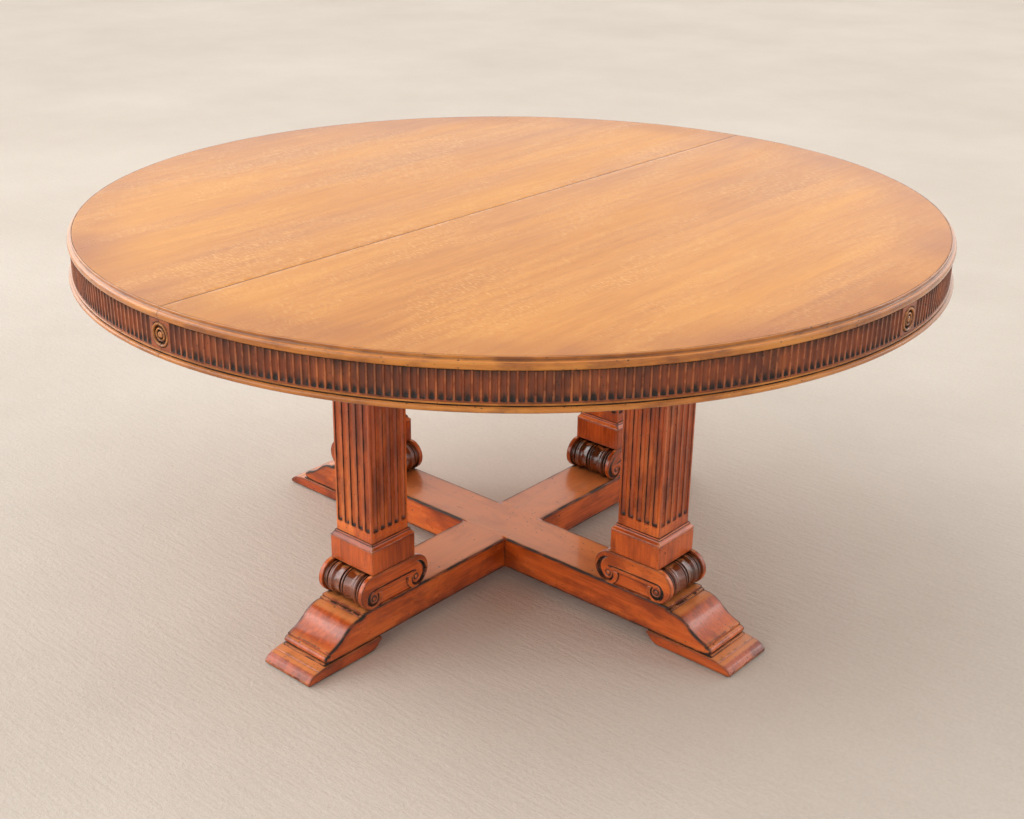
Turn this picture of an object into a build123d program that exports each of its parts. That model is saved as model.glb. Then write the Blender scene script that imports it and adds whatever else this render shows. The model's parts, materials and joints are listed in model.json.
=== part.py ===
"""Round extension dining table on a cross base with four fluted square columns.

Frame: millimetres, +Z up, origin on the floor under the centre of the top.  One arm of the cross base
points along each of +X (right), +Y (back), -X (left) and -Y (front).  The top parts along the YZ plane:
half a slides towards +X and half b towards -X, on geared wooden slides fixed to the columns.
"""
from build123d import *
import math
import os

# Overall size
TABLE_HEIGHT = 762.0
TOP_RADIUS = 802.3            # flat top face, out to the first quirk of the edge moulding
OVERALL_RADIUS = 812.8        # widest point, on the lower moulding
SEAM_GAP = 0.6                # air between the two halves of the top

# Top and its rim, radii and heights
PANEL_RADIUS = 800.0
PANEL_BOTTOM = 738.0
MOULDING_BOTTOM = 742.0
MOULDING_RADIUS = 809.5
APRON_RADIUS = 806.0
APRON_INNER_RADIUS = 786.0
APRON_BOTTOM = 693.0
LOWER_MOULDING_BOTTOM = 680.0
LOWER_MOULDING_INNER_RADIUS = 783.0

# Rosettes let into the fluted band: one at each end of the seam, and one near the middle of each half
ROSETTE_ANGLES = (-90, 1.8, 90)
ROSETTE_RADIUS = 20.0
ROSETTE_FRONT = 807.6
ROSETTE_BACK = 799.0
ROSETTE_HEIGHT = 717.5

# Cross base
ARM_WIDTH = 114.0
ARM_TOP = 88.5
ARM_BOTTOM = 23.5
ARM_END = 555.0
FOOT_REACH = 596.6
PAD_WIDTH = 121.0
PAD_BOTTOM = 2.0
PAD_INNER_END = 412.0
GLIDE_RADIUS = 14.0
GLIDE_PLACES = (462.0, 575.0)

# Scroll brackets, plinths and columns, all centred on each arm at COLUMN_REACH
COLUMN_REACH = 372.0
SCROLL_WIDTH = 116.0
SCROLL_TOP = 156.2
SCROLL_SPACING = 108.0        # between the two volute centres
CHEEK = 10.0                  # thickness of the side faces that carry the volutes
ROLL_CLEARANCE = 0.8          # volute outline to the turned roll
PANEL_RECESS = 3.5
PLINTH_WIDTH = 111.0
PLINTH_BLOCK_TOP = 204.0
PLINTH_TOP = 216.4
COLUMN_WIDTH = 94.0
COLUMN_TOP = 672.0
FLUTES_PER_FACE = 5
FLUTE_PITCH = 18.0
FLUTE_WIDTH = 12.0
FLUTE_DEPTH = 5.0
FLUTE_START = 236.0
FLUTE_END = 640.0

# Tie rods that clamp arm, bracket, plinth, column and bearer together
ROD_RADIUS = 6.0
ROD_BORE = 6.5
NUT_FLATS = 19.0
NUT_THICKNESS = 10.0
NUT_POCKET_RADIUS = 16.0
LOWER_POCKET_TOP = 41.5
UPPER_POCKET_BOTTOM = 684.0

# Bearers on top of the columns
BEARER_TOP = 700.0
BEARER_WIDTH = 90.0
BEARER_Y_REACH = 430.0
CROSS_BEARER_REACH = 330.0

# Geared slides
TRAVEL = 254.0                # how far each half opens
RAIL_Y = 260.0
RAIL_WIDTH = 22.0
RAIL_TOP = 736.0
RAIL_REACH = 400.0
TONGUE = (703.5, 709.5)
TONGUE_DEPTH = 7.0
SLIDE_GAP = 0.5
SLIDE_WIDTH = 28.0
SLIDE_BOTTOM = 700.5
SLIDE_LOW_TOP = 736.5         # where the slide runs under the other half
SLIDE_INNER_END = -330.0
BATTEN = (538.0, 582.0)
BATTEN_REACH = 500.0
GEAR_MODULE = 2.0
GEAR_TEETH = 18
PRESSURE_ANGLE = math.radians(20)
GEAR_BACKLASH = 0.35
GEAR_BOTTOM = 712.5
GEAR_TOP = 726.0
GEAR_BORE = 3.05
GEAR_PIN_RADIUS = 3.0
RACK_BOTTOM = 711.5
RACK_TOP = 727.0
RACK_BACK = 25.0
RACK_ENDS = (-276.0, 22.0)
STOP_LENGTH = 22.5
STOP_BOTTOM = 684.0

# Fasteners, seam pins and latches
SCREW_RADIUS = 2.2
SCREW_HEAD_RADIUS = 4.6
SCREW_HEAD = 3.0
SCREW_HOLE = 0.15             # extra radius of a hole round its screw
SEAM_PINS = (-650.0, -420.0, -150.0, 150.0, 420.0, 650.0)
PIN_RADIUS = 5.0
PIN_LENGTH = 14.0
PIN_DEPTH = 25.0
SOCKET_CLEARANCE = 0.3
PIN_HEIGHT = 750.0
LATCH_Y = 480.0
LATCH_X = 42.0
LATCH_LEVER = (729.0, 732.0)
LATCH_REACH = 74.0            # pivot to keeper post
LATCH_WIDTH = 18.0

SIDES = ("right", "back", "left", "front")   # arms at 0, 90, 180 and 270 degrees


def block(x, y, z):
    """Box between two limits on each axis."""
    size = (x[1] - x[0], y[1] - y[0], z[1] - z[0])
    return Pos((x[0] + x[1]) / 2, (y[0] + y[1]) / 2, (z[0] + z[1]) / 2) * Box(*size)


def post(x, y, z, radius):
    """Upright cylinder between two heights."""
    return Pos(x, y, (z[0] + z[1]) / 2) * Cylinder(radius, z[1] - z[0])


def turned_to(angle, shape):
    """Shape turned about the table's vertical axis."""
    return Rot(0, 0, angle) * shape


def upright_slab(outline, width):
    """Outline in the XZ plane, given thickness equally to both sides along Y."""
    return extrude(Plane.XZ * make_face(outline), width / 2, both=True)


def ring_of(outline):
    """Outline of radius against height, swept once round the vertical axis."""
    return revolve(Plane.XZ * make_face(outline), Axis.Z)


def half_of(shape):
    """The part of a shape on half a's side of the seam."""
    reach = 2 * OVERALL_RADIUS
    return shape & block((SEAM_GAP / 2, reach), (-reach, reach), (-10, reach))


def save(name, *solids):
    """One STEP file for one node, holding all of its solids."""
    flat = [solid for shape in solids for solid in shape.solids()]
    export_step(flat[0] if len(flat) == 1 else Compound(flat), f"parts/{name}.step")


# ---------------------------------------------------------------- cross base
def rod_places():
    """Centres of the four tie rods, in plan."""
    return [(COLUMN_REACH * math.cos(math.pi * k / 2), COLUMN_REACH * math.sin(math.pi * k / 2))
            for k in range(4)]


def rod_bores(bottom, top):
    return [post(x, y, (bottom, top), ROD_BORE) for x, y in rod_places()]


def arm_outline():
    """Side view of one arm: straight to the fillet, then ogee, bead and toe."""
    ogee_start = (459.5, 82.0)
    ogee_middle = (502.0, 67.0)
    ogee_end = (543.0, 42.5)
    convex = TangentArc(ogee_start, ogee_middle, tangent=(1, 0))
    concave = TangentArc(ogee_middle, ogee_end, tangent=convex % 1)
    top = Polyline((0, ARM_TOP), (452, ARM_TOP), (455.5, 85), (459.5, 85), ogee_start)
    neck = Polyline(ogee_end, (546, 42.5), (546, 39.5))
    bead = ThreePointArc((546, 39.5), (552.5, 33.5), (547, 27.5))
    toe = Polyline((547, 27.5), (ARM_END, 26), (ARM_END, ARM_BOTTOM), (0, ARM_BOTTOM), (0, ARM_TOP))
    return top + convex + concave + neck + bead + toe


def beam(lap):
    """Beam along X with a foot at each end, lapped at the middle over the other beam."""
    arm = upright_slab(arm_outline(), ARM_WIDTH)
    whole = arm + mirror(arm, about=Plane.YZ)
    half_width = ARM_WIDTH / 2
    cuts = [block((-half_width, half_width), (-half_width, half_width), lap)]
    for x in (-COLUMN_REACH, COLUMN_REACH):
        cuts.append(post(x, 0, (0, ARM_TOP + 1), ROD_BORE))
        cuts.append(post(x, 0, (0, LOWER_POCKET_TOP), NUT_POCKET_RADIUS))
    return whole - cuts


def foot_pad():
    """Pad under the end of the arm along +X, nosed outside and hollowed inside."""
    nose = ThreePointArc((FOOT_REACH, 8), (588, 16), (571, 20))
    hollow = ThreePointArc((440, PAD_BOTTOM), (424, 10), (PAD_INNER_END, 18.5))
    top = Polyline((571, 20), (568, 22), (558, ARM_BOTTOM), (PAD_INNER_END, ARM_BOTTOM), (PAD_INNER_END, 18.5))
    sole = Polyline((440, PAD_BOTTOM), (FOOT_REACH, PAD_BOTTOM), (FOOT_REACH, 8))
    return upright_slab(nose + top + hollow + sole, PAD_WIDTH)


def scroll_bracket():
    """Bracket on the arm along +X: a core and two cheeks with volute-shaped ends."""
    height = SCROLL_TOP - ARM_TOP
    middle = (SCROLL_TOP + ARM_TOP) / 2
    whole = Pos(COLUMN_REACH, 0, middle) * extrude(
        Plane.XZ * SlotCenterToCenter(SCROLL_SPACING, height), SCROLL_WIDTH / 2, both=True)
    cuts = [post(COLUMN_REACH, 0, (ARM_TOP - 1, SCROLL_TOP + 1), ROD_BORE)]
    for side in (-1, 1):
        centre = COLUMN_REACH + side * SCROLL_SPACING / 2
        bed = Pos(centre, 0, middle) * Rot(90, 0, 0) * Cylinder(
            height / 2 - ROLL_CLEARANCE, SCROLL_WIDTH - 2 * CHEEK)
        outside = (min(centre, centre + side * height), max(centre, centre + side * height))
        mouth = block(outside, (CHEEK - SCROLL_WIDTH / 2, SCROLL_WIDTH / 2 - CHEEK), (ARM_TOP, SCROLL_TOP))
        cuts += [bed, mouth]
    whole = whole - cuts
    volutes = [Pos(COLUMN_REACH + s * SCROLL_SPACING / 2, 0, middle) * Rot(90, 0, 0)
               * Cylinder(height / 2, SCROLL_WIDTH + 2) for s in (-1, 1)]
    panel = block((COLUMN_REACH - SCROLL_SPACING / 2, COLUMN_REACH + SCROLL_SPACING / 2),
                  (SCROLL_WIDTH / 2 - PANEL_RECESS, SCROLL_WIDTH / 2 + 1), (ARM_TOP, middle - 3)) - volutes
    return whole - [panel, mirror(panel, about=Plane.XZ)]


def scroll_roll():
    """Turned roll about Y at the origin: flange, ring and bell on each side of two middle rings."""
    radius = (SCROLL_TOP - ARM_TOP) / 2 - ROLL_CLEARANCE - 0.2
    half = (SCROLL_WIDTH - 2 * CHEEK) / 2 - 0.1
    profile = [(0, radius - 4), (2.5, radius - 2), (5, radius - 4), (7.5, radius - 2), (10, radius - 5),
               (20, radius - 5), (28, radius - 1), (34, radius - 3), (37, radius - 5), (39, radius),
               (42, radius), (44, radius - 3), (half, radius - 3)]
    side = [(r, y) for y, r in profile]
    outline = Polyline((0, 0), *side, (0, half), (0, 0))
    one = Rot(90, 0, 0) * revolve(Plane.XZ * make_face(outline), Axis.Z)
    return one + mirror(one, about=Plane.XZ)


def plinth_block():
    body = block((-PLINTH_WIDTH / 2, PLINTH_WIDTH / 2), (-PLINTH_WIDTH / 2, PLINTH_WIDTH / 2),
                 (SCROLL_TOP, PLINTH_BLOCK_TOP))
    return body - post(0, 0, (SCROLL_TOP - 1, PLINTH_BLOCK_TOP + 1), ROD_BORE)


def plinth_moulding():
    """Four mitred lengths of moulding round the foot of a column."""
    inside = COLUMN_WIDTH / 2 + 0.1
    outside = PLINTH_WIDTH / 2
    cove = ThreePointArc((outside, PLINTH_BLOCK_TOP + 2), (52.2, 209.5), (50.5, 213.5))
    rest = Polyline((50.5, 213.5), (48.5, PLINTH_TOP), (inside, PLINTH_TOP), (inside, PLINTH_BLOCK_TOP),
                    (outside, PLINTH_BLOCK_TOP), (outside, PLINTH_BLOCK_TOP + 2))
    length = upright_slab(cove + rest, 3 * PLINTH_WIDTH)
    mitre = Polyline((0, 0), (outside + 5, -outside - 5), (outside + 5, outside + 5), (0, 0))
    wedge = extrude(make_face(mitre), TABLE_HEIGHT)
    piece = length & wedge
    return [turned_to(90 * k, piece) for k in range(4)]


def column():
    """Square column with stopped flutes on all four faces, bored for the tie rod."""
    half = COLUMN_WIDTH / 2
    body = block((-half, half), (-half, half), (PLINTH_BLOCK_TOP, COLUMN_TOP))
    radius = (FLUTE_WIDTH ** 2 / 4 + FLUTE_DEPTH ** 2) / (2 * FLUTE_DEPTH)
    axis = half + radius - FLUTE_DEPTH
    ends = (FLUTE_START + radius, FLUTE_END - radius)
    cuts = [post(0, 0, (PLINTH_BLOCK_TOP - 1, COLUMN_TOP + 1), ROD_BORE)]
    for face in range(4):
        for k in range(FLUTES_PER_FACE):
            place = (k - (FLUTES_PER_FACE - 1) / 2) * FLUTE_PITCH
            tool = post(axis, place, ends, radius)
            tool += [Pos(axis, place, z) * Sphere(radius) for z in ends]
            cuts.append(turned_to(90 * face, tool))
    return body - cuts


def floor_glides():
    return [turned_to(90 * k, post(x, 0, (0, PAD_BOTTOM), GLIDE_RADIUS)) for k in range(4) for x in GLIDE_PLACES]


def hex_nut(x, y, bottom):
    corner_radius = NUT_FLATS / math.sqrt(3)
    nut = extrude(RegularPolygon(corner_radius, 6), NUT_THICKNESS)
    nut = nut - post(0, 0, (-1, NUT_THICKNESS + 1), ROD_RADIUS + 0.05)
    return Pos(x, y, bottom) * nut


def build_base():
    lap_height = (ARM_TOP + ARM_BOTTOM) / 2
    save("beam_x", beam((ARM_BOTTOM - 1, lap_height)))
    save("beam_y", turned_to(90, beam((lap_height, ARM_TOP + 1))))
    pad = foot_pad()
    save("foot_pads", *[turned_to(90 * k, pad) for k in range(4)])
    save("floor_glides", *floor_glides())
    bracket = scroll_bracket()
    roll = scroll_roll()
    block_shape = plinth_block()
    ring = plinth_moulding()
    shaft = column()
    rolls = []
    mouldings = []
    for k, side in enumerate(SIDES):
        save(f"scroll_{side}", turned_to(90 * k, bracket))
        save(f"plinth_{side}", turned_to(90 * k, Pos(COLUMN_REACH, 0, 0) * block_shape))
        save(f"column_{side}", turned_to(90 * k, Pos(COLUMN_REACH, 0, 0) * shaft))
        mouldings += [turned_to(90 * k, Pos(COLUMN_REACH, 0, 0) * piece) for piece in ring]
        for end in (-1, 1):
            centre = Pos(COLUMN_REACH + end * SCROLL_SPACING / 2, 0, (SCROLL_TOP + ARM_TOP) / 2)
            rolls.append(turned_to(90 * k, centre * roll))
    save("scroll_rolls", *rolls)
    save("plinth_mouldings", *mouldings)
    save("tie_rods", *[post(x, y, (28, BEARER_TOP - 2), ROD_RADIUS) for x, y in rod_places()])
    save("rod_nuts", *[hex_nut(x, y, z) for x, y in rod_places()
                       for z in (LOWER_POCKET_TOP - NUT_THICKNESS, UPPER_POCKET_BOTTOM)])


# ---------------------------------------------------------------- bearers and fixed rails
def screw(x, y, head_bottom, tip):
    """Screw driven upwards."""
    shank = post(x, y, (head_bottom, tip), SCREW_RADIUS)
    return shank + post(x, y, (head_bottom, head_bottom + SCREW_HEAD), SCREW_HEAD_RADIUS)


def screw_hole(x, y, surface, head_top, tip):
    """Hole for a screw driven upwards, counterbored from the surface to the top of its head."""
    bore = post(x, y, (surface - 0.5, tip), SCREW_RADIUS + SCREW_HOLE)
    return bore + post(x, y, (surface - 1, head_top), SCREW_HEAD_RADIUS + 0.3)


def frame_screw_places():
    return [(x, y) for x in (-COLUMN_REACH, -30, 30, COLUMN_REACH) for y in (-RAIL_Y, RAIL_Y)]


def build_bearers():
    head = COLUMN_TOP + 6
    tip = BEARER_TOP + 12
    holes = [screw_hole(x, y, COLUMN_TOP, head, tip + 0.5) for x, y in frame_screw_places()]
    pockets = [post(x, y, (UPPER_POCKET_BOTTOM, BEARER_TOP + 1), NUT_POCKET_RADIUS) for x, y in rod_places()]
    cuts = holes + pockets + rod_bores(COLUMN_TOP - 1, BEARER_TOP + 1)
    half = BEARER_WIDTH / 2
    levels = (COLUMN_TOP, BEARER_TOP)
    middle = (COLUMN_TOP + BEARER_TOP) / 2
    cross_face = COLUMN_REACH - half
    cross = block((cross_face, COLUMN_REACH + half), (-CROSS_BEARER_REACH, CROSS_BEARER_REACH), levels) - cuts
    save("cross_bearer_right", cross)
    save("cross_bearer_left", turned_to(180, cross))
    along_x = block((-cross_face, cross_face), (-half, half), levels)
    save("bearer_x", along_x - block((-half, half), (-half, half), (middle, BEARER_TOP + 1)))
    along_y = block((-half, half), (-BEARER_Y_REACH, BEARER_Y_REACH), levels) - cuts
    save("bearer_y", along_y - block((-half, half), (-half, half), (COLUMN_TOP - 1, middle)))
    save("frame_screws", *[screw(x, y, head - SCREW_HEAD, tip) for x, y in frame_screw_places()])
    rail_holes = [post(x, y, (BEARER_TOP - 1, tip + 0.5), SCREW_RADIUS + SCREW_HOLE) for x, y in frame_screw_places()]
    for name, y in (("fixed_rail_front", -RAIL_Y), ("fixed_rail_back", RAIL_Y)):
        save(name, fixed_rail(y) - rail_holes)
    save("pinion_pins", *[post(0, y, (705, 733), GEAR_PIN_RADIUS) for y in (-RAIL_Y, RAIL_Y)])


def fixed_rail(y):
    """Rail with a tongue along each side and a window for the pinion at its middle."""
    half = RAIL_WIDTH / 2
    rail = block((-RAIL_REACH, RAIL_REACH), (y - half, y + half), (BEARER_TOP, RAIL_TOP))
    rail += block((-RAIL_REACH, RAIL_REACH), (y - half - TONGUE_DEPTH, y + half + TONGUE_DEPTH), TONGUE)
    window = block((-22.5, 22.5), (y - half - 1, y + half + 1), (GEAR_BOTTOM - 0.5, GEAR_TOP + 0.5))
    return rail - [window, post(0, y, (705, 733), GEAR_PIN_RADIUS)]


# ---------------------------------------------------------------- pinions and racks
def involute_point(base_radius, radius, start_angle, sign):
    """Point of an involute flank at a radius, where the flank leaves the base circle at start_angle."""
    roll = math.acos(min(1.0, base_radius / radius))
    angle = start_angle + sign * (math.tan(roll) - roll)
    return (radius * math.cos(angle), radius * math.sin(angle))


def pinion():
    """Spur gear about Z with a tooth centred on +Y."""
    pitch_radius = GEAR_MODULE * GEAR_TEETH / 2
    base_radius = pitch_radius * math.cos(PRESSURE_ANGLE)
    tip_radius = pitch_radius + 0.85 * GEAR_MODULE
    root_radius = pitch_radius - 1.2 * GEAR_MODULE
    half_tooth = (math.pi * GEAR_MODULE / 2 - GEAR_BACKLASH) / 2 / pitch_radius
    flank_start = half_tooth + math.tan(PRESSURE_ANGLE) - PRESSURE_ANGLE
    radii = [base_radius + (tip_radius - base_radius) * k / 5 for k in range(6)]
    points = []
    for tooth in range(GEAR_TEETH):
        middle = math.pi / 2 + 2 * math.pi * tooth / GEAR_TEETH
        first = middle - flank_start
        last = middle + flank_start
        points.append((root_radius * math.cos(first), root_radius * math.sin(first)))
        points += [involute_point(base_radius, r, first, 1) for r in radii]
        points += [involute_point(base_radius, r, last, -1) for r in reversed(radii)]
        points.append((root_radius * math.cos(last), root_radius * math.sin(last)))
    gear = extrude(make_face(Polyline(*points, points[0])), GEAR_TOP - GEAR_BOTTOM)
    return Pos(0, 0, GEAR_BOTTOM) * gear - post(0, 0, (GEAR_BOTTOM - 1, GEAR_TOP + 1), GEAR_BORE)


def rack():
    """Rack along X on the -Y side of a pinion at the origin, with a tooth space centred on x = 0."""
    pitch = math.pi * GEAR_MODULE
    pitch_line = GEAR_MODULE * GEAR_TEETH / 2
    tip = pitch_line - 0.85 * GEAR_MODULE
    root = pitch_line + 1.2 * GEAR_MODULE
    half_space = (pitch / 2 + GEAR_BACKLASH) / 2
    slope = math.tan(PRESSURE_ANGLE)
    body = block(RACK_ENDS, (-RACK_BACK, -tip), (RACK_BOTTOM, RACK_TOP))
    wide = half_space + (pitch_line - tip) * slope
    narrow = half_space - (root - pitch_line) * slope
    space = Polyline((-wide, -tip + 1e-3), (wide, -tip + 1e-3), (narrow, -root), (-narrow, -root), (-wide, -tip + 1e-3))
    tool = Pos(0, 0, RACK_BOTTOM - 1) * extrude(make_face(space), RACK_TOP - RACK_BOTTOM + 2)
    count = range(math.ceil(RACK_ENDS[0] / pitch), math.floor(RACK_ENDS[1] / pitch) + 1)
    return body - [Pos(k * pitch, 0, 0) * tool for k in count]


# ---------------------------------------------------------------- one half of the top
def edge_moulding():
    """Moulded lip round the panel: quirk, ovolo and a rounded lower edge."""
    ovolo = ThreePointArc((804.2, 758.6), (808.2, 756.2), (MOULDING_RADIUS, 751.5))
    lower = ThreePointArc((MOULDING_RADIUS, 746), (808.9, 743.6), (807, MOULDING_BOTTOM))
    crown = Polyline((PANEL_RADIUS, MOULDING_BOTTOM), (PANEL_RADIUS, TABLE_HEIGHT), (TOP_RADIUS, TABLE_HEIGHT),
                     (804.2, 760.6), (804.2, 758.6))
    outline = crown + ovolo + Line((MOULDING_RADIUS, 751.5), (MOULDING_RADIUS, 746)) + lower
    return ring_of(outline + Line((807, MOULDING_BOTTOM), (PANEL_RADIUS, MOULDING_BOTTOM)))


def apron():
    """Band behind the moulding and the panel's edge, with a seat for each rosette."""
    outline = Polyline((APRON_INNER_RADIUS, APRON_BOTTOM), (APRON_RADIUS, APRON_BOTTOM), (APRON_RADIUS, MOULDING_BOTTOM),
                       (PANEL_RADIUS, MOULDING_BOTTOM), (PANEL_RADIUS, PANEL_BOTTOM),
                       (APRON_INNER_RADIUS, PANEL_BOTTOM), (APRON_INNER_RADIUS, APRON_BOTTOM))
    seat = Pos((ROSETTE_BACK + APRON_RADIUS + 1) / 2, 0, ROSETTE_HEIGHT) * Rot(0, 90, 0) * Cylinder(
        ROSETTE_RADIUS + 0.1, APRON_RADIUS + 1 - ROSETTE_BACK)
    return ring_of(outline) - [turned_to(angle, seat) for angle in ROSETTE_ANGLES]


def lower_moulding():
    """Fillet, groove and bead under the apron."""
    bead = ThreePointArc((809.5, 688), (OVERALL_RADIUS, 684.5), (810.5, LOWER_MOULDING_BOTTOM))
    fillet = Polyline((LOWER_MOULDING_INNER_RADIUS, LOWER_MOULDING_BOTTOM),
                      (LOWER_MOULDING_INNER_RADIUS, APRON_BOTTOM), (808.5, APRON_BOTTOM), (808.5, 691.5),
                      (806.5, 690.5), (806.5, 688.8), (809.5, 688))
    return ring_of(fillet + bead + Line((810.5, LOWER_MOULDING_BOTTOM),
                                        (LOWER_MOULDING_INNER_RADIUS, LOWER_MOULDING_BOTTOM)))


def rosette():
    """Round patera on the +X side: outer ring, hollow, and a boss in the middle."""
    rim = ThreePointArc((ROSETTE_RADIUS, ROSETTE_FRONT - 2), (ROSETTE_RADIUS - 2.5, ROSETTE_FRONT),
                        (ROSETTE_RADIUS - 5, ROSETTE_FRONT - 2))
    bed = Polyline((ROSETTE_RADIUS - 5, ROSETTE_FRONT - 2), (8, ROSETTE_FRONT - 3), (5, ROSETTE_FRONT - 0.6),
                   (0, ROSETTE_FRONT - 0.2), (0, ROSETTE_BACK), (ROSETTE_RADIUS, ROSETTE_BACK),
                   (ROSETTE_RADIUS, ROSETTE_FRONT - 2))
    return Pos(0, 0, ROSETTE_HEIGHT) * Rot(0, 90, 0) * revolve(Plane.XZ * make_face(rim + bed), Axis.Z)


def slide_places():
    """Centre line of the rail that each slide of half a runs on; the slide is always on its -Y side."""
    return (("back", RAIL_Y), ("front", -RAIL_Y))


def slide(y):
    """Moving slide of half a, grooved for the rail's tongue and for its rack."""
    near = y - RAIL_WIDTH / 2 - SLIDE_GAP
    across = (near - SLIDE_WIDTH, near)
    bar = block((SLIDE_INNER_END, BATTEN[0]), across, (SLIDE_BOTTOM, PANEL_BOTTOM))
    relief = block((SLIDE_INNER_END - 1, 3), (across[0] - 1, near + 1), (SLIDE_LOW_TOP, PANEL_BOTTOM + 1))
    groove = block((SLIDE_INNER_END - 1, BATTEN[0] + 1), (near - TONGUE_DEPTH, near + 1),
                   (TONGUE[0] - SLIDE_GAP, TONGUE[1] + SLIDE_GAP))
    rack_seat = block(RACK_ENDS, (y - RACK_BACK, near + 1), (RACK_BOTTOM, RACK_TOP))
    return bar - [relief, groove, rack_seat]


def panel_screw_places():
    """Screws up through the slides and the batten of half a into its panel."""
    along = [(x, y - 28.5) for x in (60, 200, 340, 480) for _, y in slide_places()]
    across = [((BATTEN[0] + BATTEN[1]) / 2, y) for y in (-430, -130, 0, 130, 430)]
    return along + across


def stop_block(y):
    """Block under the inner end of a slide that meets the middle bearer when the half is fully open."""
    near = y - RAIL_WIDTH / 2 - SLIDE_GAP
    open_face = -BEARER_WIDTH / 2 - SLIDE_GAP - TRAVEL
    return block((open_face - STOP_LENGTH, open_face), (near - SLIDE_WIDTH, near), (STOP_BOTTOM, SLIDE_BOTTOM))


def glue_blocks():
    """Blocks in the corner between the apron and the underside of the panel."""
    outer = APRON_INNER_RADIUS - 0.4
    piece = block((outer - 24, outer), (-22, 22), (PANEL_BOTTOM - 36, PANEL_BOTTOM))
    return [turned_to(angle, piece) for angle in (-80, -58, -22, 0, 22, 58, 80)]


def seam_pin(y, radius, length, depth):
    """Round pin across the seam, pointing from half a towards half b."""
    return Pos((depth - length) / 2, y, PIN_HEIGHT) * Rot(0, 90, 0) * Cylinder(radius, length + depth)


def build_half(letter, turn, panel_cuts):
    """Everything that the two halves have alike; half b is half a turned by 180 degrees."""
    places = panel_screw_places()
    head = SLIDE_BOTTOM + 4.5
    tip = PANEL_BOTTOM + 14
    holes = [screw_hole(x, y, SLIDE_BOTTOM, head, tip + 0.5) for x, y in places]
    panel = half_of(ring_of(Polyline((0, PANEL_BOTTOM), (PANEL_RADIUS, PANEL_BOTTOM), (PANEL_RADIUS, TABLE_HEIGHT),
                                     (0, TABLE_HEIGHT), (0, PANEL_BOTTOM))))
    parts = {
        "top_panel": [panel - holes - panel_cuts],
        "edge_moulding": [half_of(edge_moulding())],
        "apron": [half_of(apron())],
        "lower_moulding": [half_of(lower_moulding())],
        "rosettes": [half_of(turned_to(angle, rosette())) for angle in ROSETTE_ANGLES],
        "racks": [Pos(0, y, 0) * rack() for _, y in slide_places()],
        "batten": [block(BATTEN, (-BATTEN_REACH, BATTEN_REACH), (SLIDE_BOTTOM, PANEL_BOTTOM)) - holes],
        "glue_blocks": glue_blocks(),
        "stop_blocks": [stop_block(y) for _, y in slide_places()],
        "panel_screws": [screw(x, y, head - SCREW_HEAD, tip) for x, y in places],
    }
    for place, y in slide_places():
        parts[f"slide_{place}"] = [slide(y) - holes]
    for name, shapes in parts.items():
        save(f"{name}_{letter}", *[turned_to(turn, shape) for shape in shapes])


# ---------------------------------------------------------------- seam latches
def latch_lever():
    """Flat lever about a pivot at the origin, at rest along +Y, whose slot takes the post from its -X side."""
    reach = LATCH_REACH + 8
    half = LATCH_WIDTH / 2
    plate = block((-half, half), (0, reach), LATCH_LEVER) + post(0, 0, LATCH_LEVER, half)
    slot_width = (LATCH_REACH - 3.6, LATCH_REACH + 3.6)
    slot = post(0, 0, (720, 740), slot_width[1]) - post(0, 0, (720, 740), slot_width[0])
    slot = slot & block((-half - 1, 3.6), (0, 2 * reach), (720, 740))
    thumb = block((-half, half), (reach, reach + 3), (LATCH_LEVER[0] - 9, LATCH_LEVER[1]))
    return plate + thumb - [slot, post(0, 0, (720, 740), 3.05)]


def latch_pivot():
    """Shouldered pivot screw under the panel of half a."""
    pin = post(0, 0, (LATCH_LEVER[0] - 1, PANEL_BOTTOM + 12), 3.0)
    return pin + post(0, 0, (LATCH_LEVER[0] - 4, LATCH_LEVER[0] - 0.3), 6.0) + post(
        0, 0, (LATCH_LEVER[1] + 0.3, PANEL_BOTTOM), 6.0)


def keeper():
    """Post under the panel of half b that the lever hooks round."""
    pin = post(0, 0, (LATCH_LEVER[0] - 1, PANEL_BOTTOM + 12), 3.0)
    return pin + post(0, 0, (LATCH_LEVER[0] - 4, LATCH_LEVER[0] - 0.6), 5.0) + post(
        0, 0, (LATCH_LEVER[1] + 0.6, PANEL_BOTTOM), 5.0)


def build_top():
    pin_holes = [seam_pin(y, PIN_RADIUS, PIN_LENGTH, PIN_DEPTH) for y in SEAM_PINS]
    sockets = [seam_pin(-y, PIN_RADIUS + SOCKET_CLEARANCE, 1, PIN_LENGTH + 2) for y in SEAM_PINS]
    pivots = [Pos(LATCH_X, y, 0) * latch_pivot() for y in (-LATCH_Y, LATCH_Y)]
    keepers = [Pos(LATCH_X - LATCH_REACH, y, 0) * keeper() for y in (-LATCH_Y, LATCH_Y)]
    build_half("a", 0, pin_holes + pivots)
    build_half("b", 180, sockets + [turned_to(180, shape) for shape in keepers])
    save("seam_pins", *pin_holes)
    save("latch_pivots", *pivots)
    save("latch_keepers", *keepers)
    lever = latch_lever()
    save("latch_back", Pos(LATCH_X, LATCH_Y, 0) * lever)
    save("latch_front", Pos(LATCH_X, -LATCH_Y, 0) * mirror(lever, about=Plane.XZ))
    gear = pinion()
    save("pinion_back", Pos(0, RAIL_Y, 0) * gear)
    save("pinion_front", Pos(0, -RAIL_Y, 0) * gear)


os.makedirs("parts", exist_ok=True)
build_base()
build_bearers()
build_top()
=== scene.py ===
import json
import math

import bmesh
import bpy
import numpy as np
from mathutils import Euler, Matrix, Vector
from mathutils.geometry import delaunay_2d_cdt


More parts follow.
